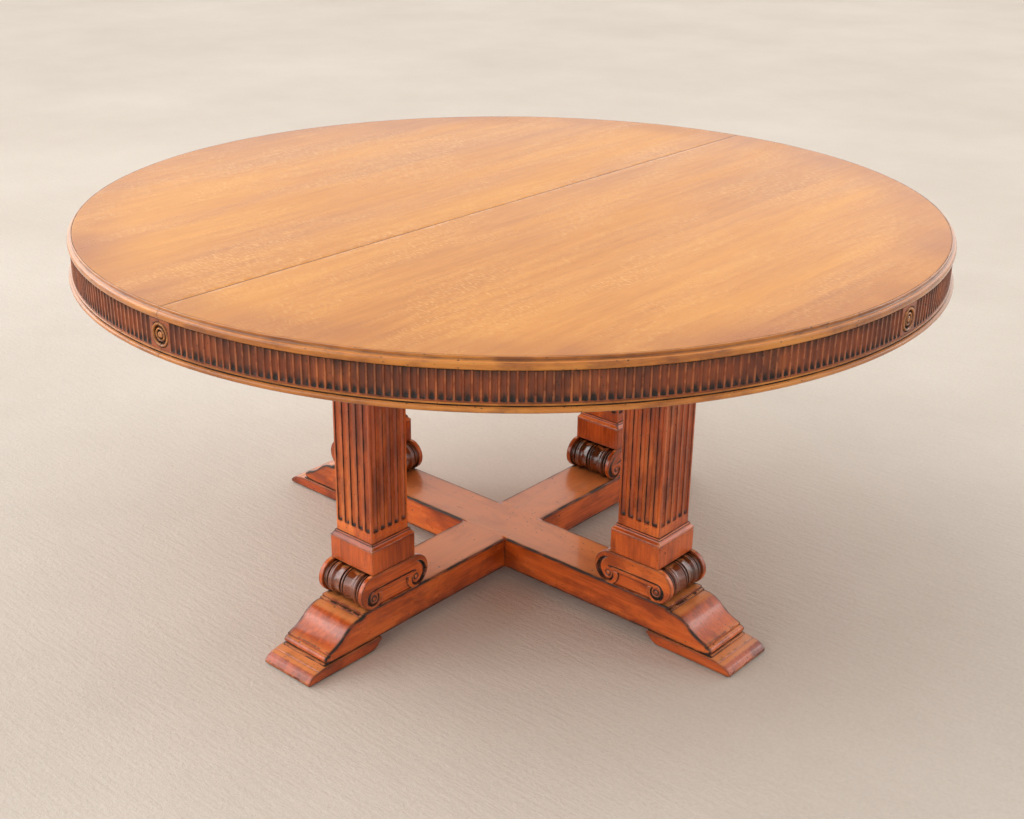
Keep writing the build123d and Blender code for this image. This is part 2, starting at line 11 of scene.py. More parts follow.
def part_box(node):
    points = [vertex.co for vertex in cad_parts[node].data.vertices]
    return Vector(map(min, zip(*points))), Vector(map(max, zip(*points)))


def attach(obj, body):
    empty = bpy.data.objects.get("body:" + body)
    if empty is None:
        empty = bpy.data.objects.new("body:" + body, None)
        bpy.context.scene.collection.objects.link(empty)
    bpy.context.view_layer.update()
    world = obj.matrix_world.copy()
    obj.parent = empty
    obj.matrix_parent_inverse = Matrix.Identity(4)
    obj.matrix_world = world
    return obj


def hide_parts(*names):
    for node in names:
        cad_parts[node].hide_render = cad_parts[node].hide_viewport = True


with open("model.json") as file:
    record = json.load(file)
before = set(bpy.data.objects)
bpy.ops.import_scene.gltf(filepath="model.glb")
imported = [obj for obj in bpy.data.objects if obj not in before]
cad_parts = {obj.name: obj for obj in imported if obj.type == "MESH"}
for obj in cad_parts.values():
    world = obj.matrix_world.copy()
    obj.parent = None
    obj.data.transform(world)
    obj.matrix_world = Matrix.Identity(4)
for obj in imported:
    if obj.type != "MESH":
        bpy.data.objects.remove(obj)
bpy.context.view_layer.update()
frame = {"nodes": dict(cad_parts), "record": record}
MM = 0.001

# ---------------------------------------------------------------- sizes: from the frame where it has them
panel_low, panel_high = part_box("top_panel_a")
edge_low, edge_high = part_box("edge_moulding_a")
apron_low, apron_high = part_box("apron_a")
lower_low, lower_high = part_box("lower_moulding_a")
rosette_low, rosette_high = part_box("rosettes_a")
TOP_Z = panel_high.z
SEAM = panel_low.x                      # half the gap between the two halves
PANEL_RADIUS = panel_high.x
EDGE_RADIUS = edge_high.x
EDGE_BOTTOM = edge_low.z
BAND_RADIUS = apron_high.x
BAND_BOTTOM = apron_low.z
BAND_TOP = apron_high.z
LOWER_RADIUS = lower_high.y
LOWER_BOTTOM = lower_low.z
ROSETTE_Z = (rosette_low.z + rosette_high.z) / 2
ROSETTE_RADIUS = (rosette_high.z - rosette_low.z) / 2
BAND_THICKNESS = 20 * MM
ROSETTE_FACE = -rosette_low.y
ROSETTE_TURN = 1.8                      # degrees from the arm to the rosette in the middle of a half
PANEL_HALF_WIDTH = 24.5 * MM            # plain panel that carries a rosette
FLUTES = (99, 95)                       # flutes on each side of that rosette
FILLET_WIDTH = 2.7 * MM                 # raised strip between two flutes of the band
FLUTE_DEPTH = 3.2 * MM

beam_low, beam_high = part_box("beam_x")
pad_low, pad_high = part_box("foot_pads")
scroll_low, scroll_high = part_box("scroll_right")
plinth_low, plinth_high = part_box("plinth_right")
collar_low, collar_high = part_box("plinth_mouldings")
column_low, column_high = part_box("column_right")
ARM_TOP = beam_high.z
ARM_BOTTOM = beam_low.z
ARM_HALF = beam_high.y
ARM_END = beam_high.x
FOOT_REACH = pad_high.x
REACH = (column_low.x + column_high.x) / 2
COLUMN_HALF = column_high.y
PLINTH_HALF = plinth_high.y
SCROLL_HALF = scroll_high.y
SCROLL_MIDDLE = (scroll_low.z + scroll_high.z) / 2
SCROLL_HEIGHT = scroll_high.z - scroll_low.z
VOLUTE_RADIUS = SCROLL_HEIGHT / 2
ROLL_OFFSET = (scroll_high.x - scroll_low.x) / 2 - VOLUTE_RADIUS
CHEEK = 10 * MM

SIDES = {"right": 0, "back": 90, "left": 180, "front": 270}
HALVES = {"a": 0, "b": 180}


# ---------------------------------------------------------------- shader helpers
class Shader:
    """A node material, or a world, built up by calls whose inputs are numbers, tuples or sockets."""

    def __init__(self, name, world=None):
        self.material = world or bpy.data.materials.new(name)
        self.material.use_nodes = True
        self.tree = self.material.node_tree
        self.tree.nodes.clear()

    def add(self, kind, inputs=None, output=0, **properties):
        node = self.tree.nodes.new("ShaderNode" + kind)
        for key, value in properties.items():
            setattr(node, key, value)
        for key, value in (inputs or {}).items():
            if isinstance(value, bpy.types.NodeSocket):
                self.tree.links.new(value, node.inputs[key])
            else:
                node.inputs[key].default_value = value
        return node.outputs[output]

    def math(self, operation, a, b=0.0, clamp=False):
        return self.add("Math", {0: a, 1: b}, operation=operation, use_clamp=clamp)

    def times(self, a, b, clamp=False):
        return self.math("MULTIPLY", a, b, clamp)

    def plus(self, a, b):
        return self.math("ADD", a, b)

    def minus(self, a, b, clamp=False):
        return self.math("SUBTRACT", a, b, clamp)

    def most(self, a, b):
        return self.math("MAXIMUM", a, b)

    def scaled(self, vector, scale, turn=0.0, shift=(0, 0, 0)):
        return self.add("Mapping", {"Vector": vector, "Scale": scale, "Rotation": (0, 0, turn),
                                    "Location": shift})

    def noise(self, vector, scale=1.0, detail=2.0, rough=0.5, distortion=0.0):
        return self.add("TexNoise", {"Vector": vector, "Scale": scale, "Detail": detail,
                                     "Roughness": rough, "Distortion": distortion})

    def fit(self, value, low, high, to_low=0.0, to_high=1.0):
        return self.add("MapRange", {"Value": value, "From Min": low, "From Max": high,
                                     "To Min": to_low, "To Max": to_high}, interpolation_type="SMOOTHSTEP")

    def mix(self, factor, a, b, blend="MIX"):
        node = self.tree.nodes.new("ShaderNodeMix")
        node.data_type = "RGBA"
        node.blend_type = blend
        for index, value in ((0, factor), (6, a), (7, b)):
            if isinstance(value, bpy.types.NodeSocket):
                self.tree.links.new(value, node.inputs[index])
            elif index:
                node.inputs[index].default_value = (*value, 1)
            else:
                node.inputs[index].default_value = value
        return node.outputs[2]

    def ramp(self, value, stops):
        node = self.tree.nodes.new("ShaderNodeValToRGB")
        elements = node.color_ramp.elements
        while len(elements) < len(stops):
            elements.new(0.5)
        for element, (place, colour) in zip(elements, stops):
            element.position = place
            element.color = (*colour, 1)
        self.tree.links.new(value, node.inputs[0])
        return node.outputs[0]

    def finish(self, **inputs):
        surface = self.add("BsdfPrincipled", {key.replace("_", " "): value for key, value in inputs.items()})
        output = self.tree.nodes.new("ShaderNodeOutputMaterial")
        self.tree.links.new(surface, output.inputs["Surface"])
        return self.material


# ---------------------------------------------------------------- materials
# Near-black colour of the glaze and of small marks, also used for painted shade in recesses
GLAZE_AND_SHADE_COLOUR = (0.014, 0.007, 0.004)
PAINTED_TOP_SHEEN = (0.88, 0.330, 0.100)           # painted sheen and light on the surfaces that face up


def stained_wood(name, dark, middle, light, gloss=0.3, dull=0.0, wear_and_highlight_colour=(0.62, 0.26, 0.10)):
    """Red-brown stained wood. Uses three attributes: grain (place, X along the grain), glaze and wear. The
    glaze also carries some painted shade, the lighter wear patches are also a painted highlight, and ambient
    occlusion paints shade into recesses.
    """
    s = Shader(name)
    grain = s.add("Attribute", attribute_name="grain", output=1)
    glaze_and_shade = s.add("Attribute", attribute_name="glaze_and_shade", output=2)
    wear = s.add("Attribute", attribute_name="wear", output=2)
    cloud = s.noise(s.scaled(grain, (3, 9, 9)), detail=3)
    streak = s.noise(s.scaled(grain, (9, 150, 150)), detail=4, rough=0.6, distortion=0.4)
    pores = s.noise(s.scaled(grain, (70, 1300, 1300)), detail=2)
    tone = s.plus(s.times(cloud, 0.62), s.times(streak, 0.38))
    colour = s.ramp(tone, [(0.33, dark), (0.50, middle), (0.68, light)])
    pore_mask = s.fit(pores, 0.60, 0.72)
    colour = s.mix(s.times(pore_mask, 0.4), colour, dark)
    upward = s.fit(s.add("SeparateXYZ", {0: s.add("NewGeometry", output=1)}, output=2), 0.92, 0.99)
    # Surfaces that face up are painted lighter: painted sheen and light from above
    colour = s.mix(s.times(upward, 0.7), colour, PAINTED_TOP_SHEEN)
    smoke = s.fit(s.noise(s.scaled(grain, (9, 20, 20)), detail=4, rough=0.62), 0.45, 0.66, 0.0, 0.78)
    smoke = s.times(smoke, s.fit(upward, 0.0, 1.0, 1.0, 0.3))
    colour = s.mix(smoke, colour, dark)
    patch = s.fit(s.noise(s.scaled(grain, (45, 60, 60)), detail=4, rough=0.6), 0.44, 0.56)
    # Lighter patches on the arrises: rubbed wear, and also a painted highlight along the edges
    colour = s.mix(s.times(wear, s.times(patch, 0.7), clamp=True), colour, wear_and_highlight_colour)
    black_arris = s.times(wear, s.minus(1.0, patch), clamp=True)
    broken = s.fit(s.noise(s.scaled(grain, (30, 120, 120)), detail=3), 0.30, 0.70, 0.70, 1.45)
    # Ambient occlusion paints recesses and the gaps next to other parts dark: painted shade, mixed in with
    # the glaze below
    hollow = s.add("AmbientOcclusion", {"Distance": 0.009}, output=1, samples=5)
    darkening = s.most(glaze_and_shade, s.fit(hollow, 0.72, 0.28, 0.0, 1.0))
    darkening = s.times(darkening, broken, clamp=True)
    darkening = s.most(darkening, s.times(black_arris, 0.95))
    colour = s.mix(darkening, colour, GLAZE_AND_SHADE_COLOUR)
    cells = s.add("TexVoronoi", {"Vector": s.scaled(grain, (34, 34, 34)), "Scale": 1.0}, feature="F1")
    rare = s.fit(s.noise(s.scaled(grain, (11, 11, 11)), detail=2), 0.44, 0.52)
    dent = s.times(s.fit(cells, 0.12, 0.02), rare)
    flecks = s.add("TexVoronoi", {"Vector": s.scaled(grain, (75, 110, 110)), "Scale": 1.0}, feature="F1")
    speck = s.times(s.fit(flecks, 0.16, 0.08), s.fit(cloud, 0.44, 0.54))
    marks = s.most(s.fit(dent, 0.35, 0.9), s.times(speck, 0.85))
    colour = s.mix(s.times(marks, 0.9), colour, GLAZE_AND_SHADE_COLOUR)
    swell = s.noise(s.scaled(grain, (10, 26, 26)), detail=2)
    relief = s.plus(s.times(streak, 0.12), s.times(swell, 0.8))
    relief = s.minus(relief, s.times(pore_mask, 0.03))
    relief = s.minus(relief, s.most(dent, s.times(speck, 0.2)))
    bump = s.add("Bump", {"Height": relief, "Strength": 0.8, "Distance": 0.0009})
    rough = s.plus(s.fit(cloud, 0.3, 0.7, 0.20 + dull, 0.30 + dull), s.times(upward, 0.07))
    rough = s.plus(rough, s.times(darkening, 0.3))
    coat = s.plus(s.times(upward, 0.2), gloss)
    coat = s.times(coat, s.fit(darkening, 0.0, 1.0, 1.0, 0.25))
    return s.finish(Base_Color=colour, Roughness=rough, Normal=bump, Coat_Weight=coat, Coat_Roughness=0.09)


def oak_veneer(name, rim):
    """Golden quarter-sawn oak: straight grain along X of the grain attribute, crossed by fine wavy pale rays.

    It darkens from the radius rim outwards."""
    s = Shader(name)
    grain = s.add("Attribute", attribute_name="grain", output=1)
    glaze_and_shade = s.add("Attribute", attribute_name="glaze_and_shade", output=2)
    across = s.add("SeparateXYZ", {0: grain}, output=1)
    board = s.math("FLOOR", s.math("DIVIDE", across, 0.178))
    chance = s.add("TexWhiteNoise", {"W": board}, noise_dimensions="1D")
    band = s.noise(s.scaled(grain, (1.1, 6, 1)), detail=3, distortion=0.3)
    streak = s.noise(s.scaled(grain, (3, 60, 1)), detail=5, rough=0.62, distortion=0.35)
    fine = s.noise(s.scaled(grain, (24, 800, 1)), detail=3, rough=0.6)
    tone = s.plus(s.times(band, 0.36), s.times(streak, 0.28))
    tone = s.plus(tone, s.times(fine, 0.30))
    tone = s.plus(tone, s.times(chance, 0.06))
    colour = s.ramp(tone, [(0.36, (0.46, 0.148, 0.016)), (0.50, (0.62, 0.232, 0.029)),
                           (0.62, (0.72, 0.305, 0.048))])
    pores = s.fit(s.noise(s.scaled(grain, (30, 1100, 1)), detail=1), 0.60, 0.72)
    colour = s.mix(s.times(pores, 0.35), colour, (0.36, 0.12, 0.022))
    wander = s.add("VectorMath", {0: grain,
                                  1: s.scaled(s.add("TexNoise", {"Vector": grain, "Scale": 22.0}, output=1),
                                                       (0.02, 0.02, 0))}, operation="ADD")
    rays = s.noise(s.scaled(wander, (330, 95, 1), turn=0.5), detail=1)
    patch = s.fit(s.noise(s.scaled(grain, (3, 9, 1)), detail=3, rough=0.6), 0.40, 0.60)
    ray = s.times(s.fit(rays, 0.50, 0.68), patch)
    colour = s.mix(s.times(ray, 0.42), colour, (0.92, 0.50, 0.15))
    radius = s.add("VectorMath", {0: s.scaled(s.add("TexCoord", output=3), (1, 1, 0))}, output=1,
                   operation="LENGTH")
    shade = s.fit(radius, rim - 0.13, rim, 0.0, 0.55)
    worn = s.fit(s.noise(s.scaled(grain, (5, 5, 5)), detail=3), 0.25, 0.75, 0.3, 1.5)
    colour = s.mix(s.times(shade, worn, clamp=True), colour, (0.40, 0.12, 0.025))
    seam = s.math("ABSOLUTE", s.add("SeparateXYZ", {0: s.add("TexCoord", output=3)}))
    darkening = s.times(s.fit(seam, 0.0022, 0.0012, 0.0, 0.8), s.fit(worn, 0.3, 1.5, 0.7, 1.0))
    colour = s.mix(s.most(darkening, glaze_and_shade), colour, (0.16, 0.042, 0.012))
    cells = s.add("TexVoronoi", {"Vector": s.scaled(grain, (22, 22, 1)), "Scale": 1.0}, feature="F1")
    rare = s.fit(s.noise(s.scaled(grain, (7, 7, 1)), detail=2), 0.54, 0.62)
    speck = s.times(s.fit(cells, 0.035, 0.015), rare)
    colour = s.mix(s.times(speck, 0.8), colour, (0.08, 0.03, 0.01))
    relief = s.minus(s.times(ray, 0.10), s.times(pores, 0.22))
    bump = s.add("Bump", {"Height": relief, "Strength": 0.12, "Distance": 0.0004})
    rough = s.minus(s.fit(band, 0.3, 0.7, 0.22, 0.32), s.times(ray, 0.05))
    return s.finish(Base_Color=colour, Roughness=rough, Normal=bump, Specular_IOR_Level=0.24)


def plain_timber(name, turn):
    """Waxed plain beech for the hidden frame, with its grain along X, or along Y when turned."""
    s = Shader(name)
    place = s.scaled(s.add("TexCoord", output=3), (1, 1, 1), turn=math.radians(turn))
    streak = s.noise(s.scaled(place, (6, 120, 120)), detail=4, rough=0.6, distortion=0.3)
    flecks = s.fit(s.noise(s.scaled(place, (90, 700, 700)), detail=1), 0.60, 0.70)
    colour = s.ramp(streak, [(0.3, (0.36, 0.19, 0.08)), (0.5, (0.47, 0.27, 0.125)),
                             (0.7, (0.55, 0.35, 0.18))])
    colour = s.mix(s.times(flecks, 0.35), colour, (0.25, 0.12, 0.05))
    bump = s.add("Bump", {"Height": streak, "Strength": 0.2, "Distance": 0.0004})
    return s.finish(Base_Color=colour, Roughness=s.fit(streak, 0.3, 0.7, 0.45, 0.6), Normal=bump)


def metal(name, colour, rough):
    s = Shader(name)
    place = s.add("TexCoord", output=3)
    scratch = s.noise(s.scaled(place, (60, 900, 60)), detail=3)
    stain = s.noise(s.scaled(place, (40, 40, 40)), detail=2)
    shade = s.mix(s.fit(stain, 0.35, 0.7, 0.0, 0.35), colour, tuple(0.55 * c for c in colour))
    bump = s.add("Bump", {"Height": scratch, "Strength": 0.1, "Distance": 0.0002})
    return s.finish(Base_Color=shade, Metallic=1.0, Roughness=s.fit(scratch, 0.3, 0.7, rough, rough + 0.15),
                    Normal=bump)


def moulded_plastic(name):
    s = Shader(name)
    place = s.add("TexCoord", output=3)
    mottle = s.noise(s.scaled(place, (700, 700, 700)), detail=2)
    colour = s.mix(s.fit(mottle, 0.3, 0.7), (0.018, 0.018, 0.02), (0.035, 0.035, 0.038))
    bump = s.add("Bump", {"Height": mottle, "Strength": 0.15, "Distance": 0.0002})
    return s.finish(Base_Color=colour, Roughness=0.5, Normal=bump)


# The stained woods, each with its dark, middle and light tone
MAHOGANY = stained_wood("stained_wood", (0.24, 0.034, 0.005), (0.60, 0.102, 0.013), (0.84, 0.200, 0.030))
OAK = oak_veneer("oak_veneer", PANEL_RADIUS)
DEEP = stained_wood("deep_wood", (0.16, 0.020, 0.004), (0.44, 0.062, 0.009), (0.62, 0.125, 0.020))
RIM = stained_wood("rim_wood", (0.22, 0.055, 0.006), (0.52, 0.165, 0.018), (0.72, 0.285, 0.040), gloss=0.4)
BAND = stained_wood("band_wood", (0.12, 0.020, 0.004), (0.31, 0.058, 0.009), (0.46, 0.112, 0.018), gloss=0.15,
                    dull=0.10)
TURNED = stained_wood("turned_wood", (0.06, 0.013, 0.004), (0.20, 0.038, 0.008), (0.34, 0.080, 0.018),
                      gloss=0.8)


# ---------------------------------------------------------------- mesh helpers
def unit(value):
    """A value kept between 0 and 1."""
    return np.clip(value, 0, 1)


class Soup:
    """Loose surfaces to be welded into one closed mesh, with grain and glaze stored on their points; the
    glaze values also hold painted shade.
    """

    def __init__(self):
        self.points = []
        self.faces = []
        self.glaze_and_shade = []
        self.grain = []
        self.count = 0

    def _store(self, points, grain, glaze_and_shade):
        points = points.reshape(-1, 3)
        self.points.append(points)
        self.grain.append(np.asarray(grain, float).reshape(-1, 3))
        self.glaze_and_shade.append(np.asarray(glaze_and_shade, float).ravel() + np.zeros(len(points)))
        start = self.count
        self.count += len(points)
        return start

    def grid(self, points, grain, glaze_and_shade=0.0, close_rows=False, close_columns=False):
        """Quads over points[row, column]."""
        rows, columns = points.shape[:2]
        start = self._store(points, grain, glaze_and_shade)
        for i in range(rows if close_rows else rows - 1):
            for j in range(columns if close_columns else columns - 1):
                i2 = (i + 1) % rows
                j2 = (j + 1) % columns
                self.faces.append((start + i * columns + j, start + i * columns + j2,
                                   start + i2 * columns + j2, start + i2 * columns + j))

    def polygons(self, points, faces, grain, glaze_and_shade=0.0):
        start = self._store(points, grain, glaze_and_shade)
        self.faces += [tuple(start + k for k in face) for face in faces]


def curvature(points, normals, edges):
    """Mean lean of each point's neighbours towards its normal: positive in a hollow, negative on an arris."""
    a, b = edges[:, 0], edges[:, 1]
    step = points[b] - points[a]
    step /= np.maximum(np.linalg.norm(step, axis=1), 1e-9)[:, None]
    total = np.zeros(len(points))
    count = np.zeros(len(points))
    np.add.at(total, a, (normals[a] * step).sum(1))
    np.add.at(total, b, -(normals[b] * step).sum(1))
    np.add.at(count, a, 1)
    np.add.at(count, b, 1)
    return total / np.maximum(count, 1)


HOLLOW_GLAZE = 1.6                      # how fast glaze gathers as a hollow sharpens past FLAT_HOLLOW
FLAT_HOLLOW = 0.04
ARRIS_WEAR = 4                          # how fast wear grows as an arris sharpens past FLAT_ARRIS
FLAT_ARRIS = 0.05


def make_piece(name, soup, body, material, slot, replaces=(), sharp=35, arris=1.0, exposed=None):
    """Welds a soup, closes its flat open ends, and makes it a piece that rides on a body.

    arris is how much its sharp edges show wear: lighter rubbed patches that are also a painted highlight, and
    dark glaze; exposed(points) is 0 where they are shut in a joint."""
    mesh = bpy.data.meshes.new(name)
    mesh.from_pydata(np.concatenate(soup.points).tolist(), [], soup.faces)
    mesh.attributes.new("grain", "FLOAT_VECTOR", "POINT").data.foreach_set(
        "vector", np.concatenate(soup.grain).astype(np.float32).ravel())
    mesh.attributes.new("glaze_and_shade", "FLOAT", "POINT").data.foreach_set(
        "value", np.concatenate(soup.glaze_and_shade).astype(np.float32))
    work = bmesh.new()
    work.from_mesh(mesh)
    bmesh.ops.remove_doubles(work, verts=work.verts, dist=2e-6)
    bmesh.ops.dissolve_degenerate(work, dist=1e-6, edges=work.edges)
    open_edges = [e for e in work.edges if e.is_boundary]
    if open_edges:
        bmesh.ops.holes_fill(work, edges=open_edges, sides=0)
    bmesh.ops.recalc_face_normals(work, faces=work.faces)
    work.to_mesh(mesh)
    work.free()
    count = len(mesh.vertices)
    points = np.zeros(count * 3)
    normals = np.zeros(count * 3)
    edges = np.zeros(len(mesh.edges) * 2, int)
    glaze_and_shade = np.zeros(count)
    mesh.vertices.foreach_get("co", points)
    mesh.vertex_normals.foreach_get("vector", normals)
    mesh.edges.foreach_get("vertices", edges)
    mesh.attributes["glaze_and_shade"].data.foreach_get("value", glaze_and_shade)
    bend = curvature(points.reshape(-1, 3), normals.reshape(-1, 3), edges.reshape(-1, 2))
    if exposed is not None:
        bend *= exposed(points.reshape(-1, 3))
    glaze_and_shade = unit(glaze_and_shade + HOLLOW_GLAZE * unit(bend - FLAT_HOLLOW))
    wear = arris * unit(ARRIS_WEAR * (-bend - FLAT_ARRIS))
    mesh.attributes["glaze_and_shade"].data.foreach_set("value", glaze_and_shade.astype(np.float32))
    mesh.attributes.new("wear", "FLOAT", "POINT").data.foreach_set("value", wear.astype(np.float32))
    mesh.shade_smooth()
    mesh.set_sharp_from_angle(angle=math.radians(sharp))
    mesh.materials.append(material)
    piece = bpy.data.objects.new(name, mesh)
    bpy.context.scene.collection.objects.link(piece)
    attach(piece, body)
    if replaces:
        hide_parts(*replaces)
    return piece


def turned(points, degrees):
    """Points turned about the table's vertical axis."""
    a = math.radians(degrees)
    matrix = np.array([[math.cos(a), -math.sin(a), 0], [math.sin(a), math.cos(a), 0], [0, 0, 1]])
    return np.asarray(points, float) @ matrix.T


def turn_soup(soup, degrees, shift):
    """A soup turned about the vertical axis, with its grain shifted so that no two copies look alike."""
    copy = Soup()
    copy.points = [turned(p, degrees) for p in soup.points]
    copy.faces = soup.faces
    copy.grain = [g + np.array([shift, 0.37 * shift, 0.73 * shift]) for g in soup.grain]
    copy.glaze_and_shade = soup.glaze_and_shade
    copy.count = soup.count
    return copy


def arc(centre, radius, start, end, count):
    """Points on an arc, in degrees, both ends included."""
    return [(centre[0] + radius * math.cos(math.radians(a)), centre[1] + radius * math.sin(math.radians(a)))
            for a in np.linspace(start, end, count)]


def spaced(outline, step):
    """Closed outline with its long runs cut to at most step."""
    out = []
    for k, (x, z) in enumerate(outline):
        x2, z2 = outline[(k + 1) % len(outline)]
        parts = max(1, math.ceil(math.hypot(x2 - x, z2 - z) / step))
        out += [(x + (x2 - x) * j / parts, z + (z2 - z) * j / parts) for j in range(parts)]
    return np.array(out)


def inset(outline, distance):
    """Closed anticlockwise outline moved inwards by a mitred distance, one for all points or one each."""
    before = np.roll(outline, 1, axis=0)
    after = np.roll(outline, -1, axis=0)
    first = outline - before
    second = after - outline
    first /= np.linalg.norm(first, axis=1)[:, None]
    second /= np.linalg.norm(second, axis=1)[:, None]
    n1 = np.stack([-first[:, 1], first[:, 0]], 1)
    n2 = np.stack([-second[:, 1], second[:, 0]], 1)
    mitre = n1 + n2
    scale = 2 / np.maximum((mitre ** 2).sum(1), 1.2)
    return outline + mitre * (distance * scale)[:, None]


def distance_to(outline, points):
    """Distance from each point to a closed outline."""
    a = outline
    d = np.roll(outline, -1, axis=0) - a
    length = np.maximum((d ** 2).sum(1), 1e-18)
    best = np.full(len(points), 1e9)
    for k in range(0, len(points), 2000):
        p = points[k:k + 2000, None, :]
        t = unit(((p - a) * d).sum(2) / length)
        gap = p - (a + t[:, :, None] * d)
        best[k:k + 2000] = np.sqrt((gap ** 2).sum(2)).min(1)
    return best


def inside(outline, points):
    """Which points a closed outline holds."""
    x, y = points[:, 0][:, None], points[:, 1][:, None]
    x1, y1 = outline[:, 0], outline[:, 1]
    x2, y2 = np.roll(x1, -1), np.roll(y1, -1)
    spans = (y1 > y) != (y2 > y)
    slope = np.where(y2 == y1, 1.0, y2 - y1)
    crossing = x < (x2 - x1) * (y - y1) / slope + x1
    return (spans & crossing).sum(1) % 2 == 1


def filled(outline, spacing):
    """Triangles that fill an outline, on a grid of points: (points, faces, distance to the outline)."""
    low, high = outline.min(0), outline.max(0)
    gx, gy = np.meshgrid(np.arange(low[0] + spacing / 2, high[0], spacing),
                         np.arange(low[1] + spacing / 2, high[1], spacing))
    grid = np.stack([gx.ravel(), gy.ravel()], 1)
    layers = [inset(outline, d) for d in (2.5 * MM, 6 * MM) if d < spacing]
    seeds = np.concatenate([grid[inside(outline, grid)],
                            *[layer[inside(outline, layer)] for layer in layers]])
    gap = distance_to(outline, seeds)
    is_grid = np.arange(len(seeds)) < len(seeds) - sum(int(inside(outline, layer).sum()) for layer in layers)
    room = np.where(is_grid, 0.75 * spacing if not layers else 8 * MM, 2.2 * MM)
    seeds = seeds[gap > room]
    points = np.concatenate([outline, seeds])
    ring = [(k, (k + 1) % len(outline)) for k in range(len(outline))]
    out = delaunay_2d_cdt([Vector(p) for p in points], ring, [], 1, 1e-7)
    flat = np.array([tuple(p) for p in out[0]])
    return flat, [tuple(f) for f in out[2]], distance_to(outline, flat)


def slab(soup, outline, half_width, place, grain, rounding=1.2 * MM, step=12 * MM, spacing=12 * MM,
         edge_glaze=0.5, relief=None, flush=None):
    """Adds an outline given thickness, with rounded arrises.

    place(u, v, w) and grain(u, v, w) map outline coordinates and the distance along the thickness to space.
    relief(u, v) is how deep the two flat faces are carved; flush(u) is 0 where the arrises stay square."""
    outer = spaced(outline, step)
    soft = np.ones(len(outer)) if flush is None else flush(outer[:, 0])
    rows = []
    for angle in (0, 30, 60, 90):
        a = math.radians(angle)
        ring = inset(outer, soft * rounding * (1 - math.sin(a)))
        rows.append((ring, half_width - soft * rounding * (1 - math.cos(a)),
                     soft * edge_glaze * (0.9 if angle < 90 else 0.7)))
    inner = [d for d in (3 * MM, 8 * MM) if d < half_width * 0.5]
    rows += [(outer, half_width - rounding - d, soft * edge_glaze * 0.7 * math.exp(-d / (2.5 * MM)))
             for d in inner]
    spread = half_width - rounding - (inner[-1] if inner else 0)
    rows.append((outer, spread / 2, 0 * soft))
    both = [(r, -w, g) for r, w, g in rows] + [(r, w, g) for r, w, g in reversed(rows)]
    u = np.array([r[:, 0] for r, _, _ in both])
    v = np.array([r[:, 1] for r, _, _ in both])
    w = np.array([w + 0 * soft for _, w, _ in both])
    g = np.array([g for _, _, g in both])
    soup.grid(place(u, v, w), grain(u, v, w), g, close_columns=True)
    face_outline = inset(outer, soft * rounding)
    flat, faces, gap = filled(face_outline, spacing)
    glaze_and_shade = edge_glaze * 0.9 * np.exp(-gap / (2.2 * MM)) * (1 if flush is None else flush(flat[:, 0]))
    depth = np.zeros(len(flat))
    if relief is not None:
        depth, carved = relief(flat[:, 0], flat[:, 1])
        depth = np.where(gap > 1e-5, depth, 0)
        glaze_and_shade = np.maximum(glaze_and_shade, carved)
    for side in (-1, 1):
        w = side * (half_width - depth)
        soup.polygons(place(flat[:, 0], flat[:, 1], w), faces, grain(flat[:, 0], flat[:, 1], w), glaze_and_shade)


def upright(x0=0.0, z0=0.0):
    """Placing function for an outline in the XZ plane with its thickness along Y."""
    return lambda u, v, w: np.stack([u + x0, w + 0 * u, v + z0], -1)


def lengthwise(seed):
    """Grain along the outline's first axis."""
    return lambda u, v, w: np.stack([u + seed, v + 0.3 * seed, w + 0 * u], -1)


def swept(profile, radius_at, start, end, count):
    """Grid of a profile of (radius, height) swept about the vertical axis, in degrees."""
    angles = np.radians(np.linspace(start, end, count))
    r = np.array([p[0] for p in profile])[:, None]
    z = np.array([p[1] for p in profile])[:, None]
    points = np.stack([r * np.cos(angles), r * np.sin(angles), z + 0 * angles], -1)
    run = np.concatenate([[0], np.cumsum([math.dist(profile[k], profile[k - 1])
                                          for k in range(1, len(profile))])])
    grain = np.stack([radius_at * angles + 0 * r, run[:, None] + 0 * angles, 0 * r + 0 * angles], -1)
    return points, grain


# ---------------------------------------------------------------- the top
def curved(points, count=5):
    """Smooth run of points through a few given ones."""
    given = np.array(points, float)
    fine = np.linspace(0, len(given) - 1, (len(given) - 1) * count + 1)
    slopes = np.gradient(given, axis=0)
    k = np.minimum(fine.astype(int), len(given) - 2)
    s = (fine - k)[:, None]
    a, b, m, n = given[k], given[k + 1], slopes[k], slopes[k + 1]
    smooth = (2 * s ** 3 - 3 * s ** 2 + 1) * a + (s ** 3 - 2 * s ** 2 + s) * m + (3 * s ** 2 - 2 * s ** 3) * b
    return [tuple(p) for p in smooth + (s ** 3 - s ** 2) * n]


def near(place, offsets):
    """Points at offsets in mm from a (radius, height)."""
    return [(place[0] + a * MM, place[1] + b * MM) for a, b in offsets]


def edge_profile():
    """Closed section of the moulded lip, anticlockwise from its inner lower corner."""
    corner = (EDGE_RADIUS, TOP_Z)
    joint = (PANEL_RADIUS, TOP_Z)
    ovolo = curved(near(corner, [(-1.0, -7.6), (-0.2, -9.8), (0, -12.6), (-0.5, -15.8), (-1.9, -18.4)]), 3)
    cove = curved(near(joint, [(2.7, -1.9), (2.5, -4.4), (4.2, -6.5)]) + near(corner, [(-2.6, -7.0)]), 3)
    return (near((PANEL_RADIUS, EDGE_BOTTOM), [(0.2, 0)])
            + near(joint, [(0.2, -0.35), (0.8, 0), (2.4, -0.15), (2.9, -0.7)]) + cove + ovolo
            + near(corner, [(-2.3, -18.8)]) + near((EDGE_RADIUS, EDGE_BOTTOM), [(-3.6, 0.3), (-4.2, 0)]))


